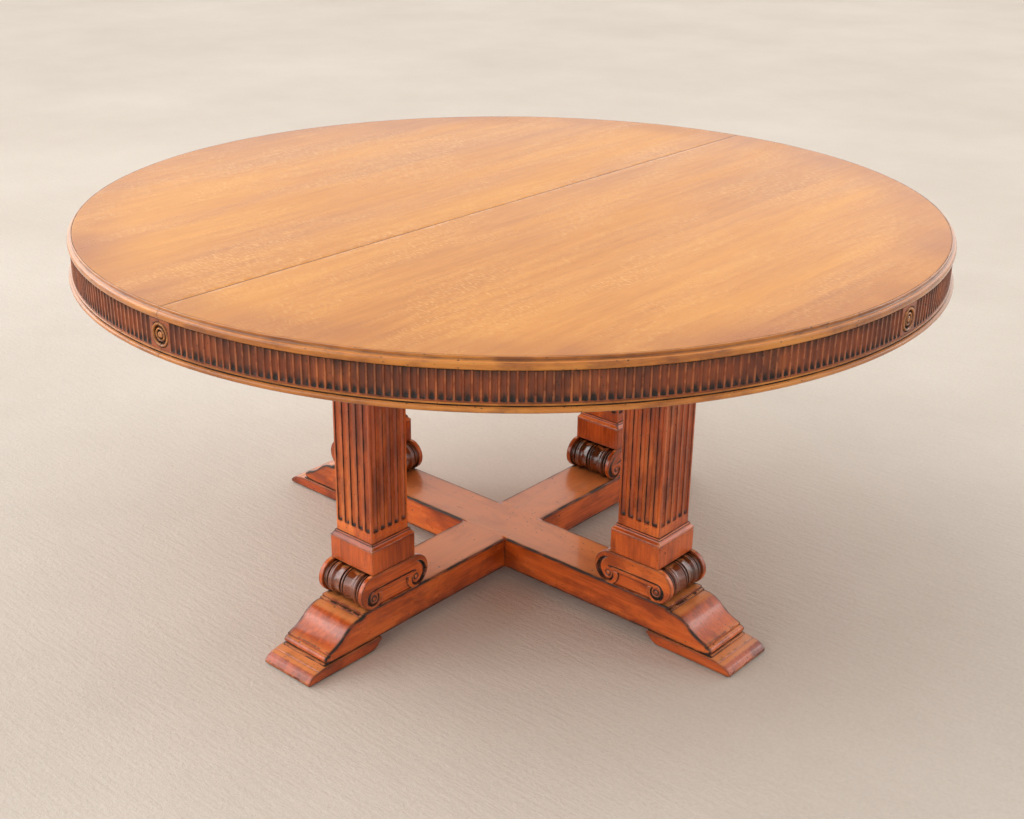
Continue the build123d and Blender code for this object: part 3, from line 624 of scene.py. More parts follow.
def lower_profile():
    """Closed section of the moulding under the band: fillet, groove and bead."""
    low = (LOWER_RADIUS - 0.3 * MM, LOWER_BOTTOM)
    bead = curved(near((BAND_RADIUS, LOWER_BOTTOM), [(2.2, 8.6)])
                  + near(low, [(-1.0, 7.6), (0, 4.8), (-0.8, 1.8), (-2.8, 0)]), 4)
    inner = BAND_RADIUS - 23 * MM
    fillet = near((BAND_RADIUS, BAND_BOTTOM), [(1.2, 0), (2.2, -0.6), (2.2, -1.8), (0.6, -2.6), (0.4, -3.8)])
    return [(inner, LOWER_BOTTOM), (inner, BAND_BOTTOM)] + fillet + bead


def half_span(radius):
    """The angle at which a circle of that radius meets its half's edge of the seam."""
    return 90 - math.degrees(SEAM / radius)


def moulding_ring(profile, radius, darkened_places):
    """Half ring of a closed profile; glazed lists (radius, height) places that are darkened: glaze, and under
    the edge moulding's lip painted shade.
    """
    soup = Soup()
    span = half_span(radius)
    points, grain = swept(profile, radius, -span, span, 361)
    glaze_and_shade = np.zeros(points.shape[:2])
    for place, strength in darkened_places:
        gap = np.array([math.dist(p, place) for p in profile])[:, None]
        glaze_and_shade = np.maximum(glaze_and_shade, strength * np.exp(-(gap / (1.6 * MM)) ** 2))
    soup.grid(points, grain, glaze_and_shade, close_rows=True)
    return soup


def flute_rows():
    """Heights down the fluted band, and how much of the flute's depth each has."""
    low, high = BAND_BOTTOM, EDGE_BOTTOM
    down = [(high, 1.0), (high - 2 * MM, 1.0), (high - 16 * MM, 1.0), (high - 32 * MM, 1.0),
            (low + 6.5 * MM, 1.0),
            (low + 4.6 * MM, 0.86), (low + 3.4 * MM, 0.55), (low + 2.8 * MM, 0.0), (low + 1.4 * MM, 0.0),
            (low, 0.0)]
    return down


def band_columns(start, end, flutes):
    """Places across the flutes between two rosette panels: (distance along the band, share of full depth)."""
    width = (end - start + FILLET_WIDTH) / flutes - FILLET_WIDTH
    out = []
    for k in range(flutes):
        left = start + k * (width + FILLET_WIDTH)
        for t in (0.0, 0.06, 0.2, 0.38, 0.62, 0.8, 0.94, 1.0):
            share = 0.0 if t in (0.0, 1.0) else math.sqrt(1 - (2 * t - 1) ** 2)
            out.append((left + t * width, share))
    return out


def around_band(run, depth, z):
    """Point on the band's face: run is the distance along it from +X, depth is measured inwards."""
    angle = run / BAND_RADIUS
    r = BAND_RADIUS - depth
    return np.stack([r * np.cos(angle), r * np.sin(angle), z], -1)


def rosette_panel(soup, middle, sides, rows):
    """Plain panel with a round recess, from the circle out to the panel's edges.

    sides is (1, -1) for a whole panel, or one of them where the seam cuts it through the middle."""
    half = PANEL_HALF_WIDTH
    heights = [z for z, _ in rows]
    low, high = heights[-1], heights[0]
    edge_of = {1: [(half, z) for z in reversed(heights)], -1: [(-half, z) for z in heights]}
    steps = np.linspace(0, half, 7)
    border = []
    for side in sides:
        if side == 1:
            border += [(x, low) for x in steps[:-1]] + edge_of[1] + [(x, high) for x in steps[::-1][1:]]
        else:
            border += [(-x, high) for x in steps[:-1]] + edge_of[-1] + [(-x, low) for x in steps[::-1][1:]]
    if len(sides) == 2:
        border = [p for k, p in enumerate(border) if k == 0 or math.dist(p, border[k - 1]) > 1e-9][:-1]
    border = np.array(border)
    around = np.arctan2(border[:, 1] - ROSETTE_Z, border[:, 0])
    centre = np.zeros_like(border) + (0, ROSETTE_Z)
    circle = centre + (ROSETTE_RADIUS + 0.4 * MM) * np.stack([np.cos(around), np.sin(around)], 1)
    bed = 4.2 * MM
    # The recess bed and a narrow ring just outside the rosette are painted dark: painted shade in the crevice
    # round the rosette
    layers = [(centre, bed, 1.0), (centre + 0.98 * (circle - centre), bed, 1.0), (circle, 0.6 * MM, 0.9)]
    layers += [(circle + t * (border - circle), 0.0, g) for t, g in ((0.08, 0.5), (0.3, 0.06), (0.7, 0.0))]
    layers.append((border, 0.0, 0.0))
    x = np.array([layer[0][:, 0] for layer in layers])
    z = np.array([layer[0][:, 1] for layer in layers])
    if len(sides) == 1:
        x = np.where(np.abs(x) < SEAM, SEAM * sides[0], x)
    depth = np.array([np.full(len(border), layer[1]) for layer in layers])
    glaze_and_shade = np.array([np.full(len(border), layer[2]) for layer in layers])
    run = middle + x
    soup.grid(around_band(run, depth, z), np.stack([run, z, 0 * z], -1), glaze_and_shade, close_columns=len(sides) == 2)
    across = np.concatenate([-steps[::-1], steps[1:]]) if len(sides) == 2 else sides[0] * np.maximum(steps,
                                                                                                     SEAM)
    run = middle + across + np.zeros((5, 1))
    depth = np.array([0, BAND_THICKNESS, BAND_THICKNESS, 0, 0])[:, None] + 0 * across
    z = np.array([low, low, BAND_TOP, BAND_TOP, high])[:, None] + 0 * across
    soup.grid(around_band(run, depth, z), np.stack([run, z, depth], -1))


def fluted_band():
    """Half of the apron: two fluted runs, one whole rosette panel and half a panel at each end."""
    soup = Soup()
    rows = flute_rows()
    quarter = BAND_RADIUS * math.pi / 2
    middle = BAND_RADIUS * math.radians(ROSETTE_TURN)
    z = np.array([height for height, _ in rows])[:, None]
    share = np.array([part for _, part in rows])[:, None]
    runs = ((-quarter + PANEL_HALF_WIDTH, middle - PANEL_HALF_WIDTH),
            (middle + PANEL_HALF_WIDTH, quarter - PANEL_HALF_WIDTH))
    for (start, end), flutes in zip(runs, FLUTES):
        columns = band_columns(start, end, flutes)
        run = np.array([place for place, _ in columns])[None, :]
        across = np.array([part for _, part in columns])[None, :]
        depth = FLUTE_DEPTH * across * share
        low_end = 1.3 * np.exp(-((z - (BAND_BOTTOM + 4.6 * MM)) / (2.4 * MM)) ** 2)
        # Dark at the top of each flute, under the edge moulding's lip: painted shade
        lip_shade = np.exp(-(EDGE_BOTTOM - z) / (2.2 * MM))
        glaze_and_shade = unit(0.15 * across * share + low_end * across + 0.9 * lip_shade)
        hidden = 0 * run + np.zeros((3, 1))
        inner_z = np.array([BAND_BOTTOM, BAND_TOP, BAND_TOP])[:, None] + 0 * run
        inner_depth = np.array([BAND_THICKNESS, BAND_THICKNESS, 0])[:, None] + 0 * run
        flat_z = np.concatenate([z + 0 * run, inner_z])
        depth = np.concatenate([depth, inner_depth])
        glaze_and_shade = np.concatenate([glaze_and_shade, hidden])
        soup.grid(around_band(run + 0 * flat_z, depth, flat_z),
                  np.stack([flat_z, run + 0 * flat_z, depth], -1), glaze_and_shade,
                  close_rows=True)
    rosette_panel(soup, middle, (1, -1), rows)
    rosette_panel(soup, -quarter, (1,), rows)
    rosette_panel(soup, quarter, (-1,), rows)
    return soup


def rosette_soup(facing, sides):
    """Turned patera facing along a compass angle: outer ring, deep hollow, inner ring and boss."""
    r = ROSETTE_RADIUS
    profile = [(0, -1.6), (1.0, -1.3), (2.0, -0.9), (3.4, -0.8), (4.6, -1.4), (5.4, -2.8), (6.1, -4.6),
               (6.9, -5.0),
               (7.5, -3.6), (8.1, -1.9), (8.9, -0.9), (9.8, -0.7), (10.7, -1.3), (11.4, -3.0), (12.1, -5.6),
               (13.4, -6.4),
               (14.4, -5.8), (15.0, -3.2), (15.6, -1.1), (16.6, -0.2), (17.7, 0.0), (18.8, -0.4),
               (19.6, -1.6),
               (20.0, -3.2)]
    scale = r / (20 * MM)
    profile = [(a * MM * scale, b * MM) for a, b in profile] + [(r, -8 * MM), (0.0, -8 * MM)]
    whole = len(sides) == 2
    angles = np.linspace(0, 2 * math.pi, 65)[:-1] if whole else np.linspace(-math.pi / 2, math.pi / 2, 33) + (
        0 if sides[0] == 1 else math.pi)
    rr = np.array([p[0] for p in profile])[:, None]
    hh = np.array([p[1] for p in profile])[:, None]
    shift = 0 if whole else sides[0] * SEAM
    points = np.stack([ROSETTE_FACE + hh + 0 * angles, shift + rr * np.cos(angles),
                       ROSETTE_Z + rr * np.sin(angles)], -1)
    grain = np.stack([rr * np.cos(angles), rr * np.sin(angles), hh + 0 * angles], -1) + facing
    glaze_and_shade = unit((-hh / MM - 1.5) / 2.6) * 0.95 + 0 * angles
    soup = Soup()
    soup.grid(turned(points, facing), grain, glaze_and_shade, close_columns=whole)
    return soup


def top_panel():
    """Veneered half disc with its grain along the seam."""
    soup = Soup()
    radius = PANEL_RADIUS
    thick = (TOP_Z - panel_low.z) / 2
    span = half_span(radius)
    rim = [(radius * math.cos(a), radius * math.sin(a)) for a in np.radians(np.linspace(-span, span, 361))]
    rim[0] = (SEAM, rim[0][1])
    rim[-1] = (SEAM, rim[-1][1])
    place = lambda u, v, w: np.stack([u, v, TOP_Z - thick + w + 0 * u], -1)
    grain = lambda u, v, w: np.stack([v, u, w + 0 * u], -1)
    slab(soup, rim, thick, place, grain, rounding=0.25 * MM, step=40 * MM, spacing=30 * MM, edge_glaze=0.0)
    return soup


def build_top():
    # Edge moulding: glaze in the cove and at the joint with the panel; the dark where the lip's underside
    # meets the band is painted shade
    edge = moulding_ring(edge_profile(), EDGE_RADIUS, [
        ((PANEL_RADIUS + 2.6 * MM, TOP_Z - 4.8 * MM), 0.4), ((EDGE_RADIUS - 3.6 * MM, EDGE_BOTTOM), 0.95),
        ((PANEL_RADIUS + 0.2 * MM, TOP_Z - 0.3 * MM), 0.8)])
    lower = moulding_ring(lower_profile(), LOWER_RADIUS, [
        ((BAND_RADIUS + 0.5 * MM, BAND_BOTTOM - 3.2 * MM), 1.0),
                                                          ((LOWER_RADIUS - 3 * MM, LOWER_BOTTOM), 0.5)])
    panel = top_panel()
    band = fluted_band()
    for letter, turn in HALVES.items():
        body = "half_" + letter
        shift = 3.7 * (turn > 0)
        for name, soup, material, slot in (
                ("top_panel", panel, OAK, "oak_top"), ("edge_moulding", edge, RIM, "stained_wood"),
                ("apron", band, BAND, "stained_wood"), ("lower_moulding", lower, RIM, "stained_wood")):
            node = f"{name}_{letter}"
            make_piece(f"{name}_{letter}_finished", turn_soup(soup, turn, shift), body, material, slot,
                       [node], arris=0.3)
        for place, facing, sides in (("middle", ROSETTE_TURN, (1, -1)), ("front", -90, (1,)),
                                     ("back", 90, (-1,))):
            soup = turn_soup(rosette_soup(facing, sides), turn, shift)
            make_piece(f"rosette_{letter}_{place}", soup, body, RIM, "stained_wood", [f"rosettes_{letter}"])


# ---------------------------------------------------------------- the cross base
LAP_HEIGHT = (ARM_TOP + ARM_BOTTOM) / 2
JOINT_GAP = 0.08 * MM                   # half the clearance where the beams are halved over each other


def arm_outline(notch):
    """Both feet and the straight middle of one beam, anticlockwise from the lower left.

    notch is "below" or "above": where the beam is halved over the other one."""
    ogee = curved([(460.2, 81.6), (472, 80.9), (484, 77.6), (495, 71.4), (504, 64.0), (515, 55.8),
                   (528, 48.8),
                   (542.6, 43.6)], 3)
    bead = arc((546.0, 33.4), 6.2, 92, -84, 11)
    end = ARM_END / MM
    bottom = ARM_BOTTOM / MM
    top = ARM_TOP / MM
    middle = ARM_HALF / MM + JOINT_GAP / MM
    lap = LAP_HEIGHT / MM
    right = ([(end, bottom), (end, bottom + 1.6), (552.6, bottom + 2.6), (547.4, bottom + 3.0)] + bead[::-1]
             + [(543.0, 40.0), (542.8, 42.6)] + ogee[::-1]
             + [(459.8, 84.4), (455.4, 84.7), (455.0, 83.4), (454.4, 83.4), (454.0, top - 0.5), (453.2, top)])
    left = [(-x, z) for x, z in reversed(right)]
    if notch == "below":
        outline = [(-middle, lap), (middle, lap), (middle, bottom)] + right + left + [(-middle, bottom)]
    else:
        outline = right + [(middle, top), (middle, lap), (-middle, lap), (-middle, top)] + left
    return [(x * MM, z * MM) for x, z in outline]


def beside_joint(u):
    """0 where the two beams cross, rising to 1 a few millimetres away."""
    t = unit((np.abs(u) - ARM_HALF - 0.2 * MM) / (4 * MM))
    return t * t * (3 - 2 * t)


def pad_half():
    """Half the width of a foot pad: half a beam's width and a narrow ledge."""
    return ARM_HALF + 3.5 * MM


def pad_outline():
    """Side view of the pad under the end of the arm along +X, anticlockwise."""
    out = FOOT_REACH / MM
    low = pad_low.z / MM
    top = ARM_BOTTOM / MM
    nose = curved([(out, low + 6.0), (out - 2.6, low + 8.8), (out - 8, low + 13.6), (out - 16, low + 17.2),
                   (out - 25, low + 18.4)], 3)
    hollow = curved([(412.0, 18.2), (416, 16.5), (420, 12.5), (424, 8), (430, 4.5), (440, low)], 3)
    ring = ([(out - 0.6, low), (out, low + 0.8)] + nose
            + [(out - 26.4, low + 19.8), (558, top - 0.4), (554, top)]
            + [(413.2, top), (412.0, top - 1.2)] + hollow)
    return [(x * MM, z * MM) for x, z in ring]


def rounded_square(half, radius):
    """Square outline with small rounded corners, anticlockwise."""
    out = []
    for k, (sx, sy) in enumerate(((1, -1), (1, 1), (-1, 1), (-1, -1))):
        centre = (sx * (half - radius), sy * (half - radius))
        out += arc(centre, radius, -90 + 90 * k, 90 * k, 4)
    return out


# Carved spirals, in mm: eye from the bracket's middle; degrees from the top, radius, half width, depth
CURLS = {
    -1: ((-56.2, -11.8), (0, 24, 70, 110, 165, 190, 250, 280, 305),
         (33.5, 30.2, 24.6, 19.0, 16.2, 14.8, 11.4, 10.4, 9.0),
         (1.0, 2.5, 5.0, 5.2, 3.4, 2.3, 1.8, 1.5, 0.8), (0.5, 3.6, 5.2, 5.2, 4.4, 3.6, 3.0, 2.2, 0.0)),
    1: ((54.7, -12.7), (0, 25, 60, 100, 170, 215, 255, 300, 325),
        (16.9, 16.2, 14.4, 13.0, 12.4, 12.6, 12.2, 11.4, 11.0),
        (1.4, 2.2, 3.4, 3.8, 3.0, 2.3, 2.0, 1.7, 0.8), (2.8, 4.0, 5.0, 5.2, 4.4, 3.6, 3.2, 2.6, 0.0)),
}
# Heights of the line along the scroll and of the sunk panel's top, from the bracket's middle
BAND_LINE = 4.15 * MM
PANEL_LINE = -4.85 * MM


def volute_relief(u, v):
    """Carving of a bracket's cheek: a spiral at each end, a line and a rib between, and a sunk panel."""
    depth = np.zeros(u.shape)
    darkening = np.zeros(u.shape)
    radius = {}
    for side, (eye, turns, reach, half, deep) in CURLS.items():
        dx = side * (u - eye[0] * MM)
        dz = v - eye[1] * MM
        r = radius[side] = np.hypot(dx, dz)
        turn = np.mod(np.degrees(np.arctan2(dx, dz)), 360)
        offset = (r / MM - np.interp(turn, turns, reach)) / np.interp(turn, turns, half)
        wall = np.minimum(unit((1 - offset) / 0.35), unit((offset + 1.5) / 1.9))
        groove = wall * np.interp(turn, turns, deep) * MM * (turn < turns[-1])
        boss = 1.3 * MM * unit((r / MM - 3.0) / 1.4) * unit((9.0 - r / MM) / 3)
        depth = np.maximum.reduce([depth, groove, boss])
        darkening = np.maximum.reduce([darkening, unit(groove / (1.7 * MM) - 0.1), boss / (2.0 * MM)])
    between = unit((u + 58 * MM) / (6 * MM)) * (u < CURLS[1][0][0] * MM)
    line_z = BAND_LINE - 3.0 * MM * unit((-44 * MM - u) / (14 * MM)) ** 1.5
    line = 2.8 * MM * unit(1 - ((v - line_z) / (1.45 * MM)) ** 2) * between
    middle = (BAND_LINE + PANEL_LINE) / 2
    rib = 1.0 * MM * unit(np.abs(v - middle) / (BAND_LINE
                                                - middle)) ** 2 * (v < line_z) * (v > PANEL_LINE) * between
    rib = rib * (radius[-1] > 14 * MM) * (radius[1] > 16 * MM)
    wide = unit((v - BAND_LINE) / (26 * MM)) * (np.abs(u) < 50 * MM)
    hollow = 0.9 * MM * np.sin(math.pi * wide) * unit((50 * MM - np.abs(u)) / (14 * MM))
    edge = np.minimum.reduce([PANEL_LINE - v, radius[-1] - 22.5 * MM, radius[1] - 20.5 * MM])
    sunk = (edge > 0) & (np.abs(u) < 54 * MM)
    panel = 3.5 * MM * unit(edge / (0.8 * MM)) * sunk
    depth = np.maximum.reduce([depth, line, rib, hollow, panel])
    # Dark along the sunk panel's edges, by its walls: painted shade
    panel_edge_shade = 0.9 * np.exp(-np.maximum(edge, 0) / (1.6 * MM)) * sunk
    return depth, np.maximum.reduce([darkening, np.clip(line / (1.5 * MM), 0, 0.85), panel_edge_shade])


def scroll_soup():
    """Bracket of the arm along +X: two carved cheeks and the core between them."""
    soup = Soup()
    r = VOLUTE_RADIUS
    ends = arc((ROLL_OFFSET, 0), r, -90, 90, 33) + arc((-ROLL_OFFSET, 0), r, 90, 270, 33)
    for side in (-1, 1):
        middle = side * (SCROLL_HALF - CHEEK / 2)
        place = lambda u, v, w, m=middle: np.stack([u + REACH, m + w + 0 * u, v + SCROLL_MIDDLE], -1)
        slab(soup, ends, CHEEK / 2, place, lengthwise(2.1 + side), rounding=1.4 * MM, step=2 * MM,
             spacing=1.15 * MM, edge_glaze=0.45, relief=volute_relief)
    bed = r - 0.7 * MM
    full = ([(-ROLL_OFFSET, -r), (ROLL_OFFSET, -r)] + arc((ROLL_OFFSET, 0), bed, 268, 92, 21)
            + [(ROLL_OFFSET, r), (-ROLL_OFFSET, r)] + arc((-ROLL_OFFSET, 0), bed, 88, -88, 21))
    slab(soup, full, SCROLL_HALF - CHEEK - 0.05 * MM, upright(REACH, SCROLL_MIDDLE), lengthwise(4.4),
         rounding=0.2 * MM, edge_glaze=0.7)
    return soup


def roll_soup(x):
    """Turned roll between the cheeks: a middle bead, then each way a long slope, two bulges and a ring."""
    half = (SCROLL_HALF - CHEEK) / MM - 0.1
    r = VOLUTE_RADIUS / MM
    sunk = [(0.0, 3.0), (1.2, 3.2), (2.0, 4.4), (2.6, 7.8), (3.4, 9.2), (4.4, 9.0), (5.0, 4.2), (5.6, 2.8),
            (6.6, 2.9),
            (9, 3.7), (13, 4.8), (17, 5.7), (21, 6.2), (23.4, 5.5), (25.4, 3.7), (27.4, 2.3), (29, 2.2),
            (31, 3.0),
            (33, 2.1), (35, 2.6), (36.6, 4.4), (37.7, 7.4), (38.8, 7.6), (39.6, 5.0), (40.8, 3.6),
            (42.4, 3.5),
            (43.4, 5.2), (44.2, 7.6), (45.2, 6.8), (half, 5.2)]
    fine = curved([(y, r - depth) for y, depth in sunk], 2)
    profile = [(-y, q) for y, q in reversed(fine[1:])] + fine
    profile = [(-half, 0.0)] + profile + [(half, 0.0)]
    y = np.array([p[0] for p in profile])[:, None] * MM
    q = np.array([p[1] for p in profile])[:, None] * MM
    angles = np.linspace(0, 2 * math.pi, 73)[:-1]
    points = np.stack([x + q * np.cos(angles), y + 0 * angles, SCROLL_MIDDLE + q * np.sin(angles)], -1)
    grain = np.stack([y + 0 * angles, 0.8 * q * np.cos(angles), 0.8 * q * np.sin(angles)], -1) + 5 * x
    soup = Soup()
    depth = r - q / MM
    glaze_and_shade = unit((depth - 6.2) / 1.8) * (q > 0) + 0 * angles
    soup.grid(points, grain, glaze_and_shade, close_columns=True)
    return soup


def plinth_soup():
    soup = Soup()
    height = (plinth_high.z - plinth_low.z) / 2
    middle = (plinth_high.z + plinth_low.z) / 2
    place = lambda u, v, w: np.stack([u + REACH, v, w + middle + 0 * u], -1)
    grain = lambda u, v, w: np.stack([w + 0 * u, u + 0.3, v], -1)
    slab(soup, rounded_square(PLINTH_HALF, 1.4 * MM), height, place, grain, rounding=1.0 * MM, step=8 * MM,
         edge_glaze=0.35)
    return soup


def collar_soup():
    """Moulding mitred round the foot of the column: fillet, cove and a small upper bead."""
    low, high = collar_low.z, collar_high.z
    out = PLINTH_HALF
    corner = (out, low)
    cove = curved(near(corner, [(-0.2, 1.6), (-1.6, 3.4), (-3.6, 5.6), (-4.9, 8.2)]), 3)
    bead = curved(near(corner, [(-5.6, 8.8), (-5.4, 10.2), (-6.2, 11.7)]) + near((out, high), [(-7.6, 0)]), 3)
    profile = ([(COLUMN_HALF - 1 * MM, low), (out - 0.4 * MM, low), (out, low + 0.5 * MM)] + cove + bead
               + [(COLUMN_HALF - 1 * MM, high)])
    run = np.linspace(-1, 1, 15)[:-1]
    square = np.concatenate([turned(np.stack([np.ones(14), run, 0 * run], -1), 90 * k) for k in range(4)])
    d = np.array([p[0] for p in profile])[:, None]
    z = np.array([p[1] for p in profile])[:, None]
    points = np.stack([REACH + d * square[:, 0], d * square[:, 1], z + 0 * square[:, 0]], -1)
    travel = np.linspace(0, 8 * out, 57)[:-1]
    grain = np.stack([travel + 0 * d, d + z + 0 * travel, z + 0 * travel], -1)
    groove = np.exp(-((z - (low + 8.5 * MM)) / (0.9 * MM)) ** 2) + np.exp(-((z - high) / (0.8 * MM)) ** 2)
    glaze_and_shade = 0.8 * unit(groove) + 0 * travel
    soup = Soup()
    soup.grid(points, grain, glaze_and_shade, close_rows=True, close_columns=True)
    return soup


COLUMN_FLUTES = 5
COLUMN_PITCH = 18 * MM
COLUMN_FLUTE = 12 * MM
COLUMN_FLUTE_DEPTH = 5 * MM
FLUTE_LOW = 236 * MM
FLUTE_HIGH = 640 * MM


def column_soup():
    """Square shaft with stopped flutes."""
    radius = 1.2 * MM
    half = COLUMN_HALF
    face = [(-half + radius, 0.0, 0.0)]
    for k in range(COLUMN_FLUTES):
        middle = (k - (COLUMN_FLUTES - 1) / 2) * COLUMN_PITCH
        # Dark lines at the flute walls: glaze on both walls, and the stronger dark on the first wall of each
        # flute is painted shade
        for t, line in ((-1, 0.4), (-0.95, 0.95), (-0.82, 0.25), (-0.5, 0), (0, 0), (0.5, 0), (0.82, 0.1),
                        (0.95, 0.5),
                        (1, 0.2)):
            face.append((middle + t * COLUMN_FLUTE / 2, math.sqrt(max(0, 1 - t * t)), line))
    face.append((half - radius, 0.0, 0.0))
    end = [0, 0.6, 1.4, 2.6, 4.0, 6.0]
    low_rows = [(FLUTE_LOW + e * MM, math.sqrt(max(0, 1 - (1 - e / 6) ** 2))) for e in end]
    high_rows = [(FLUTE_HIGH - e * MM, math.sqrt(max(0, 1 - (1 - e / 6) ** 2))) for e in reversed(end)]
    plain_low = [(column_low.z, 0), (FLUTE_LOW - 16 * MM, 0), (FLUTE_LOW - 6 * MM, 0),
                 (FLUTE_LOW - 1 * MM, 0)]
    middle_rows = [(z, 1.0) for z in np.linspace(FLUTE_LOW + 12 * MM, FLUTE_HIGH - 12 * MM, 12)]
    rows = plain_low + low_rows + middle_rows + high_rows + [(FLUTE_HIGH + 4 * MM, 0), (column_high.z, 0)]
    z = np.array([p[0] for p in rows])[:, None]
    share = np.array([p[1] for p in rows])[:, None]
    across = np.array([p[0] for p in face])[None, :]
    cut = np.array([p[1] for p in face])[None, :]
    line = np.array([p[2] for p in face])[None, :]
    depth = COLUMN_FLUTE_DEPTH * cut * share
    pool = np.exp(-((z - (FLUTE_LOW + 2.2 * MM)) / (2.8 * MM)) ** 2)
    base_line = np.exp(-(z - collar_high.z) / (2.0 * MM)) * (z >= collar_high.z - 1e-4)
    glaze_and_shade = unit(line * share + 0.9 * pool * cut + 0.7 * base_line)
    points = np.concatenate([
        turned(np.stack([half - depth, across + 0 * z, z + 0 * across], -1), 90 * k) for k in range(4)],
                            axis=1)
    points[..., 0] += REACH
    grain = np.concatenate([
        np.stack([z + 0 * across, across + 0 * z + 0.2 * k, depth], -1) for k in range(4)], axis=1)
    soup = Soup()
    soup.grid(points, grain, np.concatenate([glaze_and_shade] * 4, axis=1), close_columns=True)
    return soup


def build_base():
    wood = dict(body="base", material=MAHOGANY, slot="stained_wood")
    for axis, (name, notch, turn) in enumerate((("beam_x", "below", 0), ("beam_y", "above", 90))):
        beam = Soup()
        slab(beam, arm_outline(notch), ARM_HALF, upright(), lengthwise(0.0), rounding=2.3 * MM, step=10 * MM,
             edge_glaze=1.0, flush=beside_joint)
        make_piece(f"{name}_carved", turn_soup(beam, turn, 0.06 * turn), replaces=[name],
                   exposed=lambda points, axis=axis: beside_joint(points[:, axis]), **wood)
    pad = Soup()
    slab(pad, pad_outline(), pad_half(), upright(), lengthwise(1.0), rounding=1.0 * MM, step=8 * MM,
         edge_glaze=0.45)
    bracket = scroll_soup()
    rolls = {"outer": roll_soup(REACH + ROLL_OFFSET), "inner": roll_soup(REACH - ROLL_OFFSET)}
    plinth = plinth_soup()
    collar = collar_soup()
    shaft = column_soup()
    for side, turn in SIDES.items():
        shift = 1.9 * turn / 90
        make_piece(f"foot_pad_{side}", turn_soup(pad, turn, shift), "base", DEEP, "stained_wood",
                   ["foot_pads"])
        make_piece(f"scroll_{side}_carved", turn_soup(bracket, turn, shift), replaces=[f"scroll_{side}"],
                   **wood)
        for place, soup in rolls.items():
            make_piece(f"roll_{side}_{place}", turn_soup(soup, turn, shift), "base", TURNED, "stained_wood",
                       ["scroll_rolls"], sharp=60, arris=0.5)
        make_piece(f"plinth_{side}_finished", turn_soup(plinth, turn, shift), replaces=[f"plinth_{side}"],
                   **wood)
        make_piece(f"plinth_moulding_{side}", turn_soup(collar, turn, shift), replaces=["plinth_mouldings"],
                   **wood)
        make_piece(f"column_{side}_fluted", turn_soup(shaft, turn, shift), replaces=[f"column_{side}"],
                   arris=0.2, **wood)


# ---------------------------------------------------------------- CAD nodes that stay
def finish_hardware():
    """Materials for the frame, slides and fasteners under the top."""
    along_x = plain_timber("beech_along_x", 0)
    along_y = plain_timber("beech_along_y", 90)
    steel = metal("zinc_steel", (0.55, 0.55, 0.56), 0.32)
    brass = metal("brass", (0.72, 0.50, 0.20), 0.28)
    plastic = moulded_plastic("black_nylon")
    slots = {row["node"]: row["material_slot"] for row in frame["record"]["subparts"]}
    cross = ("bearer_y", "cross_bearer", "batten", "glue_blocks")
    for name, thing in frame["nodes"].items():
        slot = slots[name]
        if slot == "plain_beech":
            material = along_y if name.startswith(cross) else along_x
        else:
            material = {"steel": steel, "brass": brass, "nylon": plastic}.get(slot, MAHOGANY)
        thing.data.materials.clear()
        thing.data.materials.append(material)


# ---------------------------------------------------------------- camera, floor and light
def pale_floor():
    s = Shader("floor")
    place = s.add("TexCoord", output=3)
    cloud = s.noise(s.scaled(place, (0.9, 0.9, 0.9)), detail=6, rough=0.62)
    fine = s.noise(s.scaled(place, (130, 130, 130)), detail=4, rough=0.7)
    brushed = s.noise(s.scaled(place, (14, 90, 1), turn=0.4), detail=3)
    tone = s.plus(s.times(cloud, 0.52), s.times(fine, 0.38))
    tone = s.plus(tone, s.times(brushed, 0.1))
    colour = s.ramp(tone, [(0.35, (0.57, 0.500, 0.432)), (0.65, (0.68, 0.612, 0.540))])
    bump = s.add("Bump", {"Height": s.plus(fine, brushed), "Strength": 0.8, "Distance": 0.0020})
    return s.finish(Base_Color=colour, Roughness=0.8, Normal=bump, Specular_IOR_Level=0.25)


def build_stage():
    mesh = bpy.data.meshes.new("floor")
    reach = 30.0
    level = -0.3 * MM
    mesh.from_pydata([(-reach, -reach, level), (reach, -reach, level), (reach, reach, level),
                      (-reach, reach, level)],
                     [], [(0, 1, 2, 3)])
    mesh.materials.append(pale_floor())
    floor = bpy.data.objects.new("floor", mesh)
    bpy.context.scene.collection.objects.link(floor)


def area_light(name, place, aim, size, power, colour=(1, 1, 1)):
    light = bpy.data.lights.new(name, "AREA")
    light.shape = "RECTANGLE"
    light.size, light.size_y = size
    light.energy = power
    light.color = colour
    thing = bpy.data.objects.new(name, light)
    thing.location = place
    thing.rotation_euler = (Vector(aim) - Vector(place)).to_track_quat("-Z", "Y").to_euler()
    bpy.context.scene.collection.objects.link(thing)


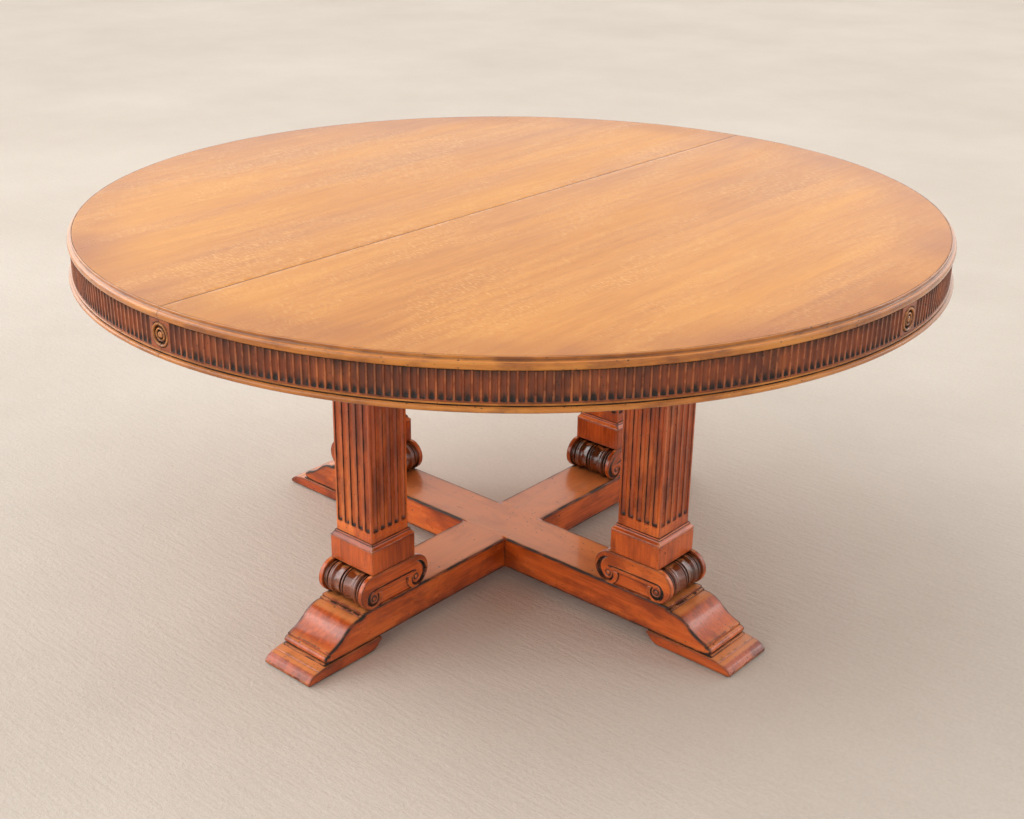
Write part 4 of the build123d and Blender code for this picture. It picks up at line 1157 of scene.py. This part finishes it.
def build_light():
    """Soft daylight in a pale room: brightest from the left, dimmer behind the camera and overhead."""
    world = bpy.data.worlds.new("studio")
    s = Shader("studio", world)
    towards = s.add("TexCoord", output=0)
    left = s.add("VectorMath", {0: towards, 1: (-0.74, -0.64, 0.20)}, output=1, operation="DOT_PRODUCT")
    right = s.add("VectorMath", {0: towards, 1: (0.50, 0.80, 0.30)}, output=1, operation="DOT_PRODUCT")
    behind = s.add("VectorMath", {0: towards, 1: (0.80, -0.60, 0.0)}, output=1, operation="DOT_PRODUCT")
    height = s.add("SeparateXYZ", {0: towards}, output=2)
    level = s.plus(s.fit(left, 0.10, 1.0, 0.0, 1.60), s.fit(right, 0.30, 1.0, 0.0, 0.52))
    level = s.plus(level, s.fit(height, 0.7, 0.0, 0.72, 1.22))
    level = s.minus(level, s.fit(behind, 0.0, 0.9, 0.0, 0.35))
    sky = s.add("Background", {"Color": (1.0, 0.985, 0.96, 1), "Strength": level})
    s.tree.links.new(sky, s.tree.nodes.new("ShaderNodeOutputWorld").inputs["Surface"])
    bpy.context.scene.world = world
    area_light("window_left", (-3.3, -2.7, 2.6), (-0.2, 0, 0.3), (0.35, 2.6), 13)
    area_light("window_far_left", (-4.4, -0.2, 3.4), (-0.2, 0, 0.2), (2.6, 2.2), 24)
    area_light("window_right", (2.6, 3.4, 2.4), (0.2, 0.2, 0.3), (0.35, 2.4), 11)


CAMERA_PLACE = (1.7028, -1.9897, 1.4641)
CAMERA_HEADING = 43.122                 # degrees
CAMERA_DIP = 23.279
CAMERA_ROLL = -0.245
CAMERA_LENS = 49.854
CAMERA_SHIFT = 0.06504                  # sideways, as the photo is framed


def build_camera():
    data = bpy.data.cameras.new("camera")
    data.sensor_width = 36.0
    data.lens = CAMERA_LENS
    data.shift_x = CAMERA_SHIFT
    camera = bpy.data.objects.new("camera", data)
    camera.location = CAMERA_PLACE
    around = math.radians(CAMERA_HEADING)
    down = math.radians(90 - CAMERA_DIP)
    roll = Matrix.Rotation(math.radians(CAMERA_ROLL), 3, "Z")
    camera.rotation_euler = (Euler((down, 0, around)).to_matrix() @ roll).to_euler()
    bpy.context.scene.collection.objects.link(camera)
    bpy.context.scene.camera = camera
    bpy.context.scene.view_settings.view_transform = "Standard"


build_camera()
build_stage()
build_light()
finish_hardware()
build_top()
build_base()
